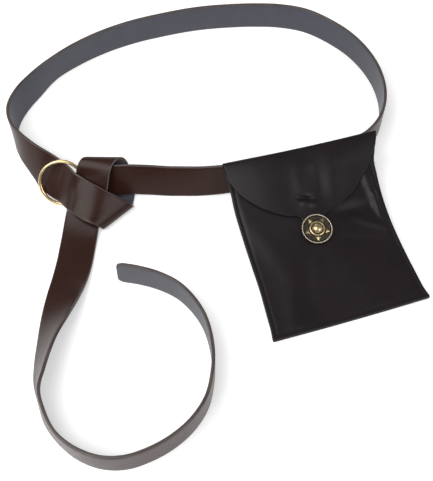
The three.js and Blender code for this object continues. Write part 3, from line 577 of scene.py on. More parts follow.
def leather_finish(name, tint, rough, grain_size, grain_depth, unlike, fuzz=0.0):
    """Leather by its flat place: cloudy colour, fine pores, faint creases and uneven shine."""
    finish, tree, shader = new_finish(name, {
        "Specular IOR Level": 0.2, "Sheen Weight": fuzz, "Sheen Roughness": 0.5})
    flat = node(tree, "ShaderNodeAttribute", attribute_name="laid_flat").outputs["Vector"]
    cloud = noise(tree, flat, scale=28, detail=4, rough=0.6)
    mottle = noise(tree, flat, scale=240, detail=3, rough=0.6)
    pores = node(tree, "ShaderNodeTexVoronoi", {
        "Vector": flat, "Scale": 1 / grain_size, "Smoothness": 0.4}, feature="SMOOTH_F1").outputs["Distance"]
    long_way = node(tree, "ShaderNodeMapping", {"Vector": flat, "Scale": (0.25, 1, 1)}).outputs[0]
    scuff = noise(tree, long_way, scale=900, detail=2, rough=0.7)
    dark, light, worn = (shade(tint, 1 + by * unlike) for by in (-1, 1, 2.2))
    clouded = blend_colours(tree, spread(tree, cloud, 0.3, 0.7, 0, 1), dark, light)
    mottled = blend_colours(tree, spread(tree, mottle, 0.5, 0.8, 0, 0.6), clouded, worn)
    gloss = node(tree, "ShaderNodeMath", {0: cloud, 1: scuff}, operation="ADD").outputs[0]
    coarse = bump(tree, mottle, strength=0.3, distance=grain_depth * 2)
    fine = bump(tree, pores, strength=0.5, distance=grain_depth, under=coarse)
    feed(tree, shader, {
        "Base Color": blend_colours(tree, spread(tree, pores, 0.1, 0.6, 0.35, 0), mottled, dark),
        "Roughness": spread(tree, gloss, 0.6, 1.4, rough - 0.06, rough + 0.09),
        "Normal": bump(tree, scuff, strength=0.25, distance=grain_depth, under=fine)})
    return finish


def edge_finish(name, tint):
    """Burnished cut edge: fibres along the strap, darker where the dye lies thick."""
    finish, tree, shader = new_finish(name, {"Specular IOR Level": 0.5, "Coat Weight": 0.2})
    flat = node(tree, "ShaderNodeAttribute", attribute_name="laid_flat").outputs["Vector"]
    stretched = node(tree, "ShaderNodeMapping", {"Vector": flat, "Scale": (60, 900, 1600)}).outputs[0]
    fibre = noise(tree, stretched, scale=1, detail=4)
    feed(tree, shader, {
        # Both tones of the edge are lifted above the grain side's colour, partly as a painted highlight of the
        # edge's light rim line
        "Base Color": blend_colours(
            tree, spread(tree, fibre, 0.35, 0.7, 0, 1), shade(tint, 0.55), shade(tint, 1.8)),
        "Roughness": spread(tree, fibre, 0.3, 0.7, 0.34, 0.5),
        "Normal": bump(tree, fibre, strength=0.3, distance=0.0001)})
    return finish


def brass_finish(name, tint, rough):
    """Polished brass with fine scratches and a faint cloud of tarnish."""
    finish, tree, shader = new_finish(name, {"Metallic": 1.0})
    place = node(tree, "ShaderNodeTexCoord").outputs["Object"]
    cloud = noise(tree, place, scale=180, detail=3)
    scratches = noise(tree, place, scale=2600, detail=2)
    dull = [channel * factor for channel, factor in zip(tint, (0.72, 0.68, 0.6))]
    feed(tree, shader, {
        "Base Color": blend_colours(tree, spread(tree, cloud, 0.4, 0.8, 0, 0.8), tint, dull),
        "Roughness": spread(tree, cloud, 0.3, 0.8, rough, rough + 0.14),
        "Normal": bump(tree, scratches, strength=0.12, distance=0.00005)})
    return finish


def antique_finish(name, tint, patina):
    """Antiqued brass: rubbed bright where it stands up, dark in its hollows."""
    finish, tree, shader = new_finish(name, {"Metallic": 1.0})
    place = node(tree, "ShaderNodeTexCoord").outputs["Object"]
    rub = node(tree, "ShaderNodeAttribute", attribute_name="rubbed").outputs["Fac"]
    blot = noise(tree, place, scale=700, detail=4)
    ragged = node(tree, "ShaderNodeMath", {0: rub, 1: spread(tree, blot, 0.3, 0.7, -0.15, 0.15)},
                  operation="ADD").outputs[0]
    bright = spread(tree, ragged, 0.2, 0.8, 0, 1)
    feed(tree, shader, {
        "Base Color": blend_colours(tree, bright, patina, tint),
        "Roughness": spread(tree, bright, 0, 1, 0.5, 0.3),
        "Normal": bump(tree, blot, strength=0.3, distance=0.0001)})
    return finish


# Strap

def resting_height(edge, strap):
    """Height of the strap's middle where its lower edge lies on the table."""
    rise = np.abs(edge[..., 2])
    return (strap.width * rise + strap.thickness * np.sqrt(np.maximum(0, 1 - rise**2))) / 2


def strap_rows(m):
    """Rows along the strap: its middle, the direction of its upper edge, and its width as a share."""
    strap, ring = m.strap, m.ring

    def row(middle, edge, width=1.0):
        return np.concatenate([middle, unit(np.asarray(edge, float)), [width]])

    def in_ring(u, v, n):
        return m.ring_middle + np.array([u, v, n]) @ m.ring_axes

    def knotted(rows):
        return [row(m.table + np.array(r[:3]) * strap.width, r[3:6], r[6]) for r in rows]

    def standing(side, away, edge, lift=0.0):
        edge = unit(np.asarray(edge, float))
        return row(m.table + np.array([side, away, resting_height(edge, strap) + lift]), edge)

    def waist(rows):
        return [standing(x * strap.loop_width, y * strap.loop_depth, e or UPRIGHT) for x, y, *e in rows]

    tongue = strap.tongue_width / strap.width
    rows = [row(in_ring(m.ring_radius + u * m.wrap_radius, 0, n * m.wrap_radius), m.ring_axes[1], tongue)
            for u, n in WRAP]
    rows += [row(in_ring(*(np.array([u, v, n]) * strap.width)), np.array([0, 1, out]) @ m.ring_axes, width)
             for u, v, n, out, width in LEAVING_WRAP]
    rows += knotted(FRONT_OF_KNOT) + waist(BEFORE_POUCH)
    for across, back, edge_back, lift in BEHIND_POUCH:
        place = on_pouch(m, across * m.pouch.width, -back * strap.width, 0) - m.table
        rows.append(standing(place[0], place[1], UPRIGHT - m.along * edge_back, lift * m.stack))
    rows += waist(ROUND_WAIST) + knotted(INTO_RING)
    rows += [row(in_ring(*(np.array(r[:3]) * strap.width)), np.array(r[3:6]) @ m.ring_axes, r[6])
             for r in THROUGH_RING]
    rows += knotted(OVER_AND_UNDER)
    rows += [standing(x * strap.curl_width, -y * strap.tail_reach, e or UPRIGHT) for x, y, *e in FREE_END]
    return np.array(rows)


def strap_profile(half, radius):
    """Round the strap's section: share across, extra across, out, and band 0 grain, 1 edge or 2 flesh."""
    inner = np.linspace(-1, 1, SECTION_COLUMNS)
    arc = np.radians(EDGE_ARC)
    grain = [(s, 0, half, 0) for s in inner[:-1]]
    flesh = [(s, 0, -half, 2) for s in inner[:0:-1]]
    edge = [(1, radius * math.cos(a), half - radius + radius * math.sin(a), 1) for a in arc]
    edge += [(1, radius * math.cos(a), -half + radius - radius * math.sin(a), 1) for a in arc[:0:-1]]
    other_edge = np.array(edge) * (-1, -1, -1, 1)
    return np.concatenate([grain, edge, flesh, other_edge])


def evened(values, give, rounds):
    """Takes small kinks out along the first axis, more where give is nearer to one."""
    for _ in range(rounds):
        inner = values[1:-1] + give[1:-1] * ((values[:-2] + values[2:]) / 2 - values[1:-1])
        values = np.concatenate([values[:1], inner, values[-1:]])
    return values


def strap_places(strap, reach):
    """Places of the sections along the strap, and how far its round ends draw each of them in."""
    radius = strap.edge_round
    ends = np.sin(np.radians(END_ARC))
    drawn_in = radius * np.array([1 - math.cos(math.asin(e)) for e in ends])
    inside = np.arange(radius * 1.5, reach - radius * 1.5, strap.section_step)
    place = np.concatenate([radius * (1 - ends[::-1]), inside, reach - radius * (1 - ends)])
    return place, np.concatenate([drawn_in[::-1], np.zeros(len(inside)), drawn_in])


def end_trim(strap, before_end, across):
    """How far the free end's round corners and slanted cut take each point back along the strap."""
    half, radius = strap.width / 2, strap.end_corner
    corner = np.maximum(0, np.abs(across * half) - (half - radius))
    trim = radius - np.sqrt(np.maximum(0, radius**2 - corner**2)) + strap.end_slant * (1 + across) / 2
    blend = 5 * radius
    return eased((before_end + blend) / blend)[:, None] * trim[None, :]


def strap_mesh(m):
    """Points, faces, bands and flat places of the strap."""
    strap = m.strap
    rows = strap_rows(m)
    at = distances(rows[:, :3])
    across, extra, out, band = strap_profile(strap.leather / 2, strap.edge_round).T
    place, inset = strap_places(strap, at[-1])
    spot = place[:, None] - end_trim(strap, place - at[-1], across)
    line = smooth(at, rows, spot.ravel()).reshape(*spot.shape, 7)
    knot_from = len(rows) - len(INTO_RING + THROUGH_RING + OVER_AND_UNDER + FREE_END)
    loose = np.interp(place, [at[knot_from + i] for i, _ in EVENED_ROWS], [give for _, give in EVENED_ROWS])
    line = evened(line, loose[:, None, None], strap.evening)
    edge = unit(line[..., 3:6])
    middle = line[..., :3].copy()
    middle[..., 2] = np.maximum(middle[..., 2], m.table[2] + resting_height(edge, strap))
    half = line[..., 6] * strap.width / 2 - strap.edge_round - inset[:, None]
    apart = across * half + extra
    sheet = middle + edge * apart[..., None]
    normal = unit(np.cross(np.gradient(sheet, axis=0), edge))
    thick = out[None, :] * (1 - inset[:, None] / strap.leather * 2)
    points = sheet + normal * thick[..., None]
    sections, around = spot.shape
    index = np.arange(sections * around).reshape(sections, around)
    quads = np.stack([index[:-1], np.roll(index[:-1], -1, 1), np.roll(index[1:], -1, 1), index[1:]], -1)
    faces = quads.reshape(-1, 4)[:, ::-1].tolist() + [index[0].tolist(), index[-1, ::-1].tolist()]
    bands = np.concatenate([np.tile(band, sections - 1), [1, 1]])
    laid = np.stack([spot, apart, np.broadcast_to(out, spot.shape)], -1)
    return points.reshape(-1, 3), faces, bands, laid.reshape(-1, 3)


class BELT_OT_strap(bpy.types.Operator):
    """Make the strap, from its end round the ring to its curled free end"""
    bl_idname = "belt.make_strap"
    bl_label = "Make strap"

    def execute(self, context):
        m = measures()
        strap = m.strap
        points, faces, bands, laid = strap_mesh(m)
        finishes = [
            leather_finish("strap_grain", strap.grain, strap.shine, 0.0007, 0.00004, 0.14),
            edge_finish("strap_edge_and_painted_highlight", strap.edge),
            leather_finish("strap_flesh", strap.flesh, 0.5, 0.0005, 0.00008, 0.10, 0.15),
        ]
        piece = make_piece("strap_of_belt", points, faces, finishes, bands, laid)
        settle(piece, "strap_leather", "belt_strap")
        return {"FINISHED"}


# Ring and rivet

def ring_mesh(m):
    """Points and faces of the ring, with a faint dip where its wire is joined."""
    big = np.linspace(0, 2 * math.pi, RING_STEPS, endpoint=False)[:, None]
    small = np.linspace(0, 2 * math.pi, WIRE_STEPS, endpoint=False)[None, :]
    wire = m.ring.wire / 2 * (1 - JOIN_DEPTH * np.exp(-((big - JOIN_PLACE) / JOIN_REACH)**2))
    reach = m.ring_radius + wire * np.cos(small)
    local = np.stack([reach * np.cos(big), reach * np.sin(big), wire * np.sin(small) + 0 * big], -1)
    index = np.arange(RING_STEPS * WIRE_STEPS).reshape(RING_STEPS, WIRE_STEPS)
    far, side = np.roll(index, -1, 0), np.roll(index, -1, 1)
    faces = np.stack([index, far, np.roll(far, -1, 1), side], -1).reshape(-1, 4).tolist()
    return m.ring_middle + local.reshape(-1, 3) @ m.ring_axes, faces


def rivet_mesh(m):
    """Points and faces of the rivet through the strap's end."""
    ring = m.ring
    low = -m.wrap_radius - m.strap.thickness / 2 - ring.gap
    high = (LEAVING_WRAP[0][2] * m.strap.width + m.wrap_radius + m.strap.thickness) / 2 + 2 * ring.gap
    head, shank = ring.rivet_head / 2, ring.rivet_shank / 2
    profile = [(r * head, low - z * ring.rivet_rise) for r, z in reversed(RIVET_RISE[1:])]
    profile += [(head * 0.9, low), (shank, low), (shank, high), (head * 0.9, high)]
    profile += [(r * head, high + z * ring.rivet_rise) for r, z in RIVET_RISE[2:]]
    local, faces, _ = turned(profile, RIVET_STEPS)
    local[:, 0] += m.ring_radius + WRAP[1][0] * m.wrap_radius
    return m.ring_middle + local @ m.ring_axes, faces


class BELT_OT_ring(bpy.types.Operator):
    """Make the brass ring and the rivet that closes the strap round it"""
    bl_idname = "belt.make_ring"
    bl_label = "Make ring and rivet"

    def execute(self, context):
        m = measures()
        brass = brass_finish("ring_polish", m.ring.brass, rough=0.14)
        settle(make_piece("ring_of_belt", *ring_mesh(m), [brass]), "ring_brass", "belt_ring")
        settle(make_piece("rivet_at_ring", *rivet_mesh(m), [brass]), "ring_brass", "ring_rivet")
        return {"FINISHED"}


# Pouch

def pouch_rows(m):
    """Rows of the back, the front and the flap, in metres along the pouch and over the table."""
    bag, flap, wall = m.pouch.length, m.pouch.flap_length, m.pouch.wall

    def height(value):
        return wall / 2 + value * m.fold_height

    back = np.array([(a * bag, height(h), ea * bag, height(eh), slant, -1, 1, 0)
                     for a, h, ea, eh, slant in BACK])
    front = []
    for k, (along, rise) in enumerate(FRONT, MOUTH_ROW):
        row, after, before = back[k], back[min(k + 1, len(back) - 1)], back[k - 1]
        run, fall = after[2] - before[2], before[3] - after[3]
        reach = m.stack / math.hypot(run, fall)
        front.append((along * bag, height(rise), row[2] + fall * reach, row[3] + run * reach,
                      row[4], -1, 1, 0))
    over = []
    for along, rise, edge_along, edge_rise, left, right in FLAP:
        limits = outline_at(m, np.array([edge_along * flap]))[0]
        inside = [2 * (side * m.pouch.width / 2 - limits[0]) / (limits[1] - limits[0]) - 1
                  for side in (left, right)]
        over.append((along * flap, height(rise), edge_along * flap, height(edge_rise), BACK[0][4],
                     max(-1, inside[0]), min(1, inside[1]), 1))
    return back, np.array(front), np.array(over)


def outline_at(m, along):
    """Left and right edge of the pouch at places along it, in metres."""
    table = np.array(OUTLINE)
    return smooth(table[:, 0], table[:, 1:], along / m.pouch.length) * m.pouch.width / 2


def finer(rows, pieces):
    """Rows between the table's rows, so that the leather bends softly."""
    before = np.vstack([rows[:1], rows[:-1]])[:-1]
    after = np.vstack([rows[1:], rows[-1:]])[1:]
    here, following = rows[:-1], rows[1:]
    t = np.linspace(0, 1, pieces, endpoint=False)[:, None, None]
    between = 0.5 * (2 * here + (following - before) * t
                     + (2 * before - 5 * here + 4 * following - after) * t * t
                     + (3 * here - before - 3 * following + after) * t**3)
    return np.vstack([between.transpose(1, 0, 2).reshape(-1, rows.shape[1]), rows[-1:]])


def leather_grid(m, rows, columns, pieces):
    """Points of the leather's middle, with their place across and along the pouch."""
    fine = finer(rows, pieces)
    along, rise, edge_along, edge_rise, slant, left, right, flap = (column[:, None] for column in fine.T)
    limits = outline_at(m, fine[:, 2])
    # Columns stand closer near the edges, where the leather turns
    spacing = np.sin(np.linspace(-math.pi / 2, math.pi / 2, columns))
    spacing = 0.5 * spacing + 0.5 * np.linspace(-1, 1, columns)
    u = left + (right - left) * (spacing[None, :] + 1) / 2
    panel = np.maximum(0, 1 - (np.abs(u) / PANEL_EDGE)**PANEL_RISE)**PANEL_ROUND
    swell = panel + (1 - np.abs(u)**FLAP_ROUND - panel) * eased(flap)
    across = limits[:, :1] + (limits[:, 1:] - limits[:, :1]) * (u + 1) / 2
    down = edge_along + (along - edge_along) * swell
    height = edge_rise + (rise - edge_rise) * swell
    grid = on_pouch(m, across, m.back_stand + down + across * slant, height)
    return grid, across, down


def fold_leather(m, grid, across, down, folds, fade, seam=0.0):
    """Pushes soft folds and dents into the leather, fading where it is held, and a seam's groove."""
    normal = unit(np.cross(np.gradient(grid, axis=0), np.gradient(grid, axis=1)))
    size = np.array([m.pouch.width / 2, m.pouch.length])
    place = np.stack([across, down], -1)
    push = np.zeros(across.shape)
    for x0, y0, x1, y1, reach, rise in folds:
        start = np.array([x0, y0]) * size
        run = np.array([x1, y1]) * size - start
        offset = place - start
        t = np.clip((offset @ run) / (run @ run), 0, 1)
        distance = np.linalg.norm(offset - t[..., None] * run, axis=-1)
        # A fold is strongest in its middle
        strength = 0.35 + 0.65 * np.sin(math.pi * (0.15 + 0.7 * t))
        push += rise * MILLIMETRE * strength * np.exp(-(distance / (reach * MILLIMETRE))**2)
    return grid + normal * (push * fade - seam)[..., None]


def laid_out(grid):
    """Flat place of each point of a grid: metres along and across the leather."""
    down = np.cumsum(np.linalg.norm(np.diff(grid, axis=0, prepend=grid[:1]), axis=2).mean(axis=1))
    over = np.cumsum(np.linalg.norm(np.diff(grid, axis=1, prepend=grid[:, :1]), axis=2), axis=1)
    over = over - over[:, over.shape[1] // 2][:, None]
    return np.stack([np.broadcast_to(down[:, None], over.shape), over], -1).reshape(-1, 2)


def pouch_finishes(pouch):
    """Outer side, inner side and rim of the pouch's leather."""
    outer = leather_finish("pouch_grain", pouch.grain, pouch.shine, 0.0006, 0.00005, 0.12)
    inner = leather_finish("pouch_flesh", pouch.flesh, 0.7, 0.0005, 0.0001, 0.15, 0.2)
    return [outer, inner, outer]


def make_leather(m, name, node_name, grid, finishes):
    """A leather of the pouch on its grid, which takes its node's place."""
    points, faces, bands, laid = shell(grid, m.pouch.wall, laid_out(grid))
    settle(make_piece(name, points, faces, finishes, bands, laid), "pouch_leather", node_name)


class BELT_OT_pouch_back(bpy.types.Operator):
    """Make the pouch's back, its fold over the strap and its flap, from one leather"""
    bl_idname = "belt.make_pouch_back"
    bl_label = "Make pouch back and flap"

    def execute(self, context):
        m = measures()
        back, _, over = pouch_rows(m)
        grid, across, down = leather_grid(m, np.vstack([back[::-1], over]), *FLAP_GRID)
        on_flap = np.arange(len(grid)) > (len(back) - 1) * FLAP_GRID[1]
        grid = fold_leather(m, grid, across, down, FLAP_FOLDS, on_flap[:, None] * np.ones(across.shape))
        make_leather(m, "back_and_flap", "pouch_back_flap", grid, pouch_finishes(m.pouch))
        return {"FINISHED"}


class BELT_OT_pouch_front(bpy.types.Operator):
    """Make the pouch's front, sewn to the back at its sides and bottom"""
    bl_idname = "belt.make_pouch_front"
    bl_label = "Make pouch front"

    def execute(self, context):
        m = measures()
        pouch = m.pouch
        grid, across, down = leather_grid(m, pouch_rows(m)[1], *FRONT_GRID)
        from_side = np.minimum(across - across[:, :1], across[:, -1:] - across)
        from_edge = np.minimum(from_side, down[-1:, :] - down)
        groove = np.exp(-((from_edge - pouch.seam_inset) / (pouch.seam_inset * SEAM_WIDTH))**2)
        grid = fold_leather(m, grid, across, down, FRONT_FOLDS, eased(from_edge / pouch.held),
                            pouch.seam_depth * groove)
        make_leather(m, "front_of_pouch", "pouch_front", grid, pouch_finishes(pouch))
        return {"FINISHED"}


def belt_loop_path(m):
    """Line of a belt loop seen from its side: its tab, over the strap, down behind it, forward under it."""
    wall, width = m.pouch.wall, m.strap.width
    behind = -(m.strap.thickness + wall) / 2 - 3 * m.ring.gap
    over = m.stack + width + m.ring.gap + wall / 2
    foot, shoulder = wall * 0.75, wall * 1.15
    line = [(f * width, m.stack + width + h * m.pouch.fold_over_strap) for f, h in LOOP_TAB]
    line += [(behind + shoulder * (1 - math.cos(a)), over - shoulder * (1 - math.sin(a)))
             for a in np.radians(LOOP_SHOULDER)]
    line += [(behind + f * foot, wall / 2 + h * foot) for f, h in LOOP_FOOT]
    line += [(f * width, wall / 2) for f in LOOP_UNDER]
    at = distances(np.array(line))
    return smooth(at, line, np.linspace(0, at[-1], LOOP_STEPS))


class BELT_OT_belt_loops(bpy.types.Operator):
    """Make the two loops on the pouch's back that the strap goes through"""
    bl_idname = "belt.make_belt_loops"
    bl_label = "Make belt loops"

    def execute(self, context):
        m = measures()
        pouch = m.pouch
        path = belt_loop_path(m)
        side = np.linspace(pouch.loop_width / 2, -pouch.loop_width / 2, LOOP_COLUMNS)
        finishes = pouch_finishes(pouch)
        for name, node_name, place in (("left_belt_loop", "belt_loop_left", -0.5),
                                       ("right_belt_loop", "belt_loop_right", 0.5)):
            across = np.broadcast_to(place * pouch.loop_spacing + side, (len(path), len(side)))
            forward, height = (np.broadcast_to(column[:, None], across.shape) for column in path.T)
            make_leather(m, name, node_name, on_pouch(m, across, forward, height), finishes)
        return {"FINISHED"}


# Button

def button_place(m):
    """Place of the button's back on the flap, its own directions, and how deep the front lies under it."""
    _, front, over = pouch_rows(m)
    spot = (BUTTON_ACROSS * m.pouch.width / 2, BUTTON_ALONG * m.pouch.flap_length)
    found = []
    for rows in (over, front):
        grid, across, _ = leather_grid(m, rows, *SOUGHT_GRID)
        i = int(np.argmax(finer(rows, SOUGHT_GRID[1])[:, 0] >= spot[1]))
        j = int(np.argmin(np.abs(across[i] - spot[0])))
        found.append((grid[i, j], grid[i + 1, j] - grid[i - 1, j]))
    out = unit(np.cross(found[0][1], m.across))
    out = out if out[2] > 0 else -out
    place = found[0][0] + out * (m.pouch.wall / 2 + 2 * m.ring.gap)
    depth = (found[0][0] - found[1][0]) @ out + m.pouch.wall + 3 * m.ring.gap
    first = unit(np.cross([0, 1, 0], out))
    return place, np.array([first, np.cross(out, first), out]), depth


def button_body(button, depth):
    """Points, faces and rub of the button's body and its hidden post."""
    post, head, thin = button.post / 2, button.post_head / 2, button.post_head_thickness
    profile = [(0, -depth - thin), (head * 0.9, -depth - thin), (head, -depth - thin * 0.6),
               (head * 0.95, -depth), (post, -depth), (post, 0)]
    rub = [HIDDEN_RUB] * len(profile) + [rubbed for _, _, rubbed in BUTTON_RISE[1:]]
    profile += [(r * button.diameter / 2, z * button.height) for r, z, _ in BUTTON_RISE[1:]]
    points, faces, row = turned(profile, BUTTON_STEPS)
    return points, faces, np.array(rub)[row]


def star_shape(button):
    """Points, faces and rub of the star's raised points."""
    table = np.array(STAR_CORNERS)
    corners = table[:, :3] * (button.diameter / 2, button.diameter / 2, button.height)
    points, faces = [], []
    for k in range(button.star_points):
        angle = button.star_turn + k * 2 * math.pi / button.star_points
        c, s = math.cos(angle), math.sin(angle)
        points.append(corners @ np.array([[c, s, 0], [-s, c, 0], [0, 0, 1]]))
        faces += [tuple(k * len(table) + i for i in face) for face in STAR_FACES]
    return np.concatenate(points), faces, np.tile(table[:, 3], button.star_points)


def repeat_tree(name, sizes):
    """A node group for repeats, with its sockets for sizes and its material."""
    tree = bpy.data.node_groups.new(name, "GeometryNodeTree")
    face = tree.interface
    face.new_socket("Geometry", in_out="INPUT", socket_type="NodeSocketGeometry")
    for text in sizes:
        kind = "NodeSocketInt" if text.startswith("Number") else "NodeSocketFloat"
        face.new_socket(text, in_out="INPUT", socket_type=kind)
    face.new_socket("Finish", in_out="INPUT", socket_type="NodeSocketMaterial")
    face.new_socket("Geometry", in_out="OUTPUT", socket_type="NodeSocketGeometry")
    return tree, tree.nodes.new("NodeGroupInput").outputs, tree.nodes.new("NodeGroupOutput")


def lifted(tree, geometry, height):
    """Geometry moved up by a height."""
    lift = node(tree, "ShaderNodeCombineXYZ", {"Z": height}).outputs[0]
    return node(tree, "GeometryNodeSetPosition", {"Geometry": geometry, "Offset": lift}).outputs[0]


def finish_tree(tree, given, result, instances):
    """Ends a node group with plain geometry and its material."""
    real = node(tree, "GeometryNodeRealizeInstances", {0: instances}).outputs[0]
    smooth_shaded = node(tree, "GeometryNodeSetShadeSmooth", {0: real}).outputs[0]
    dressed = node(tree, "GeometryNodeSetMaterial", {0: smooth_shaded, "Material": given["Finish"]})
    tree.links.new(dressed.outputs[0], result.inputs[0])
    return tree


def rope_tree():
    """Beads set aslant round a circle, which read as a rope of two strands."""
    tree, given, result = repeat_tree("twisted_rim", (
        "Rim radius", "Number of beads", "Bead length", "Bead width", "Slant", "Height"))
    ring = node(tree, "GeometryNodeCurvePrimitiveCircle", {
        "Resolution": given["Number of beads"], "Radius": given["Rim radius"]}).outputs["Curve"]
    index = node(tree, "GeometryNodeInputIndex").outputs[0]
    share_round = node(tree, "ShaderNodeMath", {0: index, 1: given["Number of beads"]},
                       operation="DIVIDE").outputs[0]
    angle = node(tree, "ShaderNodeMath", {0: share_round, 1: 2 * math.pi, 2: given["Slant"]},
                 operation="MULTIPLY_ADD").outputs[0]
    turned_by = node(tree, "ShaderNodeCombineXYZ", {"Z": angle}).outputs[0]
    size = node(tree, "ShaderNodeCombineXYZ", {
        "X": given["Bead width"], "Y": given["Bead length"], "Z": given["Bead width"]}).outputs[0]
    bead = node(tree, "GeometryNodeMeshUVSphere", {"Segments": 8, "Rings": 6, "Radius": 1.0}).outputs["Mesh"]
    beads = node(tree, "GeometryNodeInstanceOnPoints", {
        "Points": lifted(tree, ring, given["Height"]), "Instance": bead, "Rotation": turned_by,
        "Scale": size}).outputs[0]
    return finish_tree(tree, given, result, beads)


def stipple_tree():
    """Small dots in even rows on a flat ring between two radii."""
    tree, given, result = repeat_tree("stippled_ground", (
        "Outer radius", "Number of rows", "Inner radius", "Dot size", "Height"))
    wide = node(tree, "ShaderNodeMath", {0: given["Outer radius"], 1: 2}, operation="MULTIPLY").outputs[0]
    rows = node(tree, "GeometryNodeMeshGrid", {
        "Size X": wide, "Size Y": wide, "Vertices X": given["Number of rows"],
        "Vertices Y": given["Number of rows"]}).outputs["Mesh"]
    place = node(tree, "GeometryNodeInputPosition").outputs[0]
    reach = node(tree, "ShaderNodeVectorMath", {0: place}, operation="LENGTH").outputs["Value"]
    too_far, too_near = (
        node(tree, "FunctionNodeCompare", {0: reach, 1: given[limit]}, operation=way).outputs[0]
        for limit, way in (("Outer radius", "GREATER_THAN"), ("Inner radius", "LESS_THAN")))
    left_out = node(tree, "FunctionNodeBooleanMath", {0: too_far, 1: too_near}, operation="OR").outputs[0]
    kept = node(tree, "GeometryNodeDeleteGeometry", {"Geometry": rows, "Selection": left_out}).outputs[0]
    dot = node(tree, "GeometryNodeMeshIcoSphere", {
        "Radius": given["Dot size"], "Subdivisions": 1}).outputs["Mesh"]
    dots = node(tree, "GeometryNodeInstanceOnPoints", {
        "Points": lifted(tree, kept, given["Height"]), "Instance": dot}).outputs[0]
    return finish_tree(tree, given, result, dots)


def repeated(name, tree, values, place, axes):
    """Evaluates a node group and gives its result as a plain mesh object in its place on the pouch."""
    mesh = bpy.data.meshes.new(name)
    maker = bpy.data.objects.new(name, mesh)
    bpy.context.scene.collection.objects.link(maker)
    modifier = maker.modifiers.new("Repeat", "NODES")
    modifier.node_group = tree
    sockets = {item.name: item.identifier for item in tree.interface.items_tree if item.in_out == "INPUT"}
    for text, value in values.items():
        modifier[sockets[text]] = value
    graph = bpy.context.evaluated_depsgraph_get()
    result = bpy.data.meshes.new_from_object(maker.evaluated_get(graph), depsgraph=graph)
    maker.modifiers.remove(modifier)
    result.transform(Matrix([[*axes[:, i], place[i]] for i in range(3)] + [[0, 0, 0, 1]]))
    maker.data = result
    bpy.data.meshes.remove(mesh)
    return maker


class BELT_OT_button(bpy.types.Operator):
    """Make the brass button: its domed body, star, twisted rim and stippled ground"""
    bl_idname = "belt.make_button"
    bl_label = "Make star button"

    def execute(self, context):
        m = measures()
        button = m.button
        place, axes, depth = button_place(m)
        radius, height = button.diameter / 2, button.height
        body, faces, body_rub = button_body(button, depth)
        star, star_faces, star_rub = star_shape(button)
        faces += [tuple(len(body) + i for i in face) for face in star_faces]
        brass = antique_finish("antique_polish", button.brass, button.patina)
        piece = make_piece("star_button", place + np.concatenate([body, star]) @ axes, faces, [brass],
                           rubbed=np.concatenate([body_rub, star_rub]))
        for face in piece.data.polygons[-len(star_faces):]:
            face.use_smooth = False
        settle(piece, "antique_brass", "concho_button")

        bright = brass_finish("rim_polish", button.rim_brass, rough=0.24)
        rim = repeated("twisted_rim", rope_tree(), {
            "Rim radius": radius * 0.945, "Number of beads": button.beads, "Bead length": radius * 0.075,
            "Bead width": radius * 0.042, "Slant": math.radians(-38), "Height": height * 0.19,
            "Finish": bright}, place, axes)
        settle(rim, "antique_brass", "concho_button")
        dull = brass_finish("ground_patina", button.ground_brass, rough=0.42)
        ground = repeated("stippled_ground", stipple_tree(), {
            "Outer radius": radius * 0.84, "Number of rows": button.dots, "Inner radius": radius * 0.56,
            "Dot size": radius * 0.018, "Height": height * 0.175, "Finish": dull}, place, axes)
        settle(ground, "antique_brass", "concho_button")
        return {"FINISHED"}


# Stage

def make_camera(scene, settings):
    """The photo's camera, placed from the ring."""
    low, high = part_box("belt_ring")
    ring = (low + high) / 2
    lens = bpy.data.cameras.new("photo_camera")
    lens.sensor_fit = "VERTICAL"
    lens.sensor_height = 36
    lens.lens = settings.lens
    camera = bpy.data.objects.new("photo_camera", lens)
    camera.location = (ring.x + settings.camera_side, ring.y - settings.camera_near, settings.camera_height)
    camera.rotation_euler = (settings.camera_tilt, 0, 0)
    scene.collection.objects.link(camera)
    scene.camera = camera


def make_floor(settings):
    """The pale floor, which shines faintly as on a light table."""
    paper, tree, shader = new_finish("paper_floor", {
        "Specular IOR Level": 0.1, "Roughness": 0.9, "Emission Color": (1, 1, 1, 1),
        "Emission Strength": settings.floor_glow})
    place = node(tree, "ShaderNodeTexCoord").outputs["Object"]
    pale = settings.floor_colour
    fibre = noise(tree, place, scale=300, detail=3)
    feed(tree, shader, {"Base Color": blend_colours(tree, fibre, pale, shade(pale, 0.98))})
    reach = settings.floor_reach
    corners = [(-reach, -reach, 0), (reach, -reach, 0), (reach, reach, 0), (-reach, reach, 0)]
    floor = make_piece("paper_floor", corners, [(0, 1, 2, 3)], [paper])


def make_lights(scene, settings):
    """The white surround and the softboxes."""
    world = bpy.data.worlds.new("white_surround")
    world.use_nodes = True
    feed(world.node_tree, world.node_tree.nodes["Background"], {
        "Color": (1, 1, 1, 1), "Strength": settings.sky})
    scene.world = world
    for name, place, size, power in SOFTBOXES:
        light = bpy.data.lights.new(name, "AREA")
        light.size = size
        light.energy = settings.key_light * power
        lamp = bpy.data.objects.new(name, light)
        lamp.location = place
        lamp.rotation_euler = (-Vector(place)).to_track_quat("-Z", "Y").to_euler()
        scene.collection.objects.link(lamp)


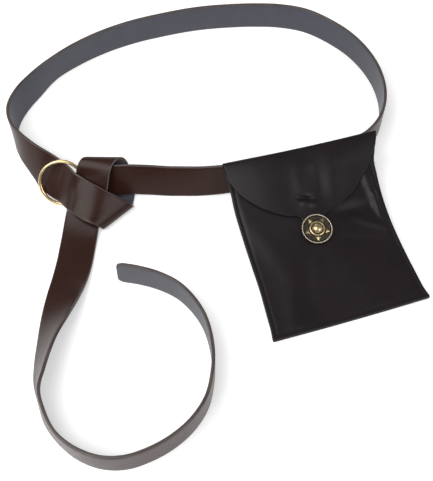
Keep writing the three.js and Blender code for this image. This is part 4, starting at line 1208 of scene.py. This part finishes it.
class BELT_OT_stage(bpy.types.Operator):
    """Make the camera, the pale floor and the soft studio light"""
    bl_idname = "belt.make_stage"
    bl_label = "Make stage"

    def execute(self, context):
        scene = context.scene
        settings = scene.belt_stage_settings
        make_camera(scene, settings)
        make_floor(settings)
        make_lights(scene, settings)
        scene.view_settings.view_transform = "Standard"
        return {"FINISHED"}


SETTINGS = {
    "belt_strap_settings": BELT_PG_strap, "belt_ring_settings": BELT_PG_ring,
    "belt_pouch_settings": BELT_PG_pouch, "belt_button_settings": BELT_PG_button,
    "belt_stage_settings": BELT_PG_stage,
}
MAKERS = (BELT_OT_stage, BELT_OT_strap, BELT_OT_ring, BELT_OT_pouch_back, BELT_OT_pouch_front,
          BELT_OT_belt_loops, BELT_OT_button)


class BELT_PT_panel(bpy.types.Panel):
    """Lists the settings and the pieces"""
    bl_idname = "BELT_PT_panel"
    bl_label = "Ring belt and pouch"
    bl_space_type = "VIEW_3D"
    bl_region_type = "UI"
    bl_category = "Belt"

    def draw(self, context):
        for name, group in SETTINGS.items():
            box = self.layout.box()
            for key in group.__annotations__:
                box.prop(getattr(context.scene, name), key)
        for maker in MAKERS:
            self.layout.operator(maker.bl_idname)


def register():
    """Adds the settings, the operators and the panel."""
    for name, group in SETTINGS.items():
        bpy.utils.register_class(group)
        setattr(bpy.types.Scene, name, bpy.props.PointerProperty(type=group))
    for item in (*MAKERS, BELT_PT_panel):
        bpy.utils.register_class(item)


def unregister():
    """Takes the panel, the operators and the settings away."""
    for item in (BELT_PT_panel, *MAKERS[::-1]):
        bpy.utils.unregister_class(item)
    for name, group in SETTINGS.items():
        delattr(bpy.types.Scene, name)
        bpy.utils.unregister_class(group)


def main():
    """Makes the stage and every piece."""
    register()
    bpy.ops.belt.make_stage()
    bpy.ops.belt.make_strap()
    bpy.ops.belt.make_ring()
    bpy.ops.belt.make_pouch_back()
    bpy.ops.belt.make_pouch_front()
    bpy.ops.belt.make_belt_loops()
    bpy.ops.belt.make_button()


if __name__ == "__main__":
    main()
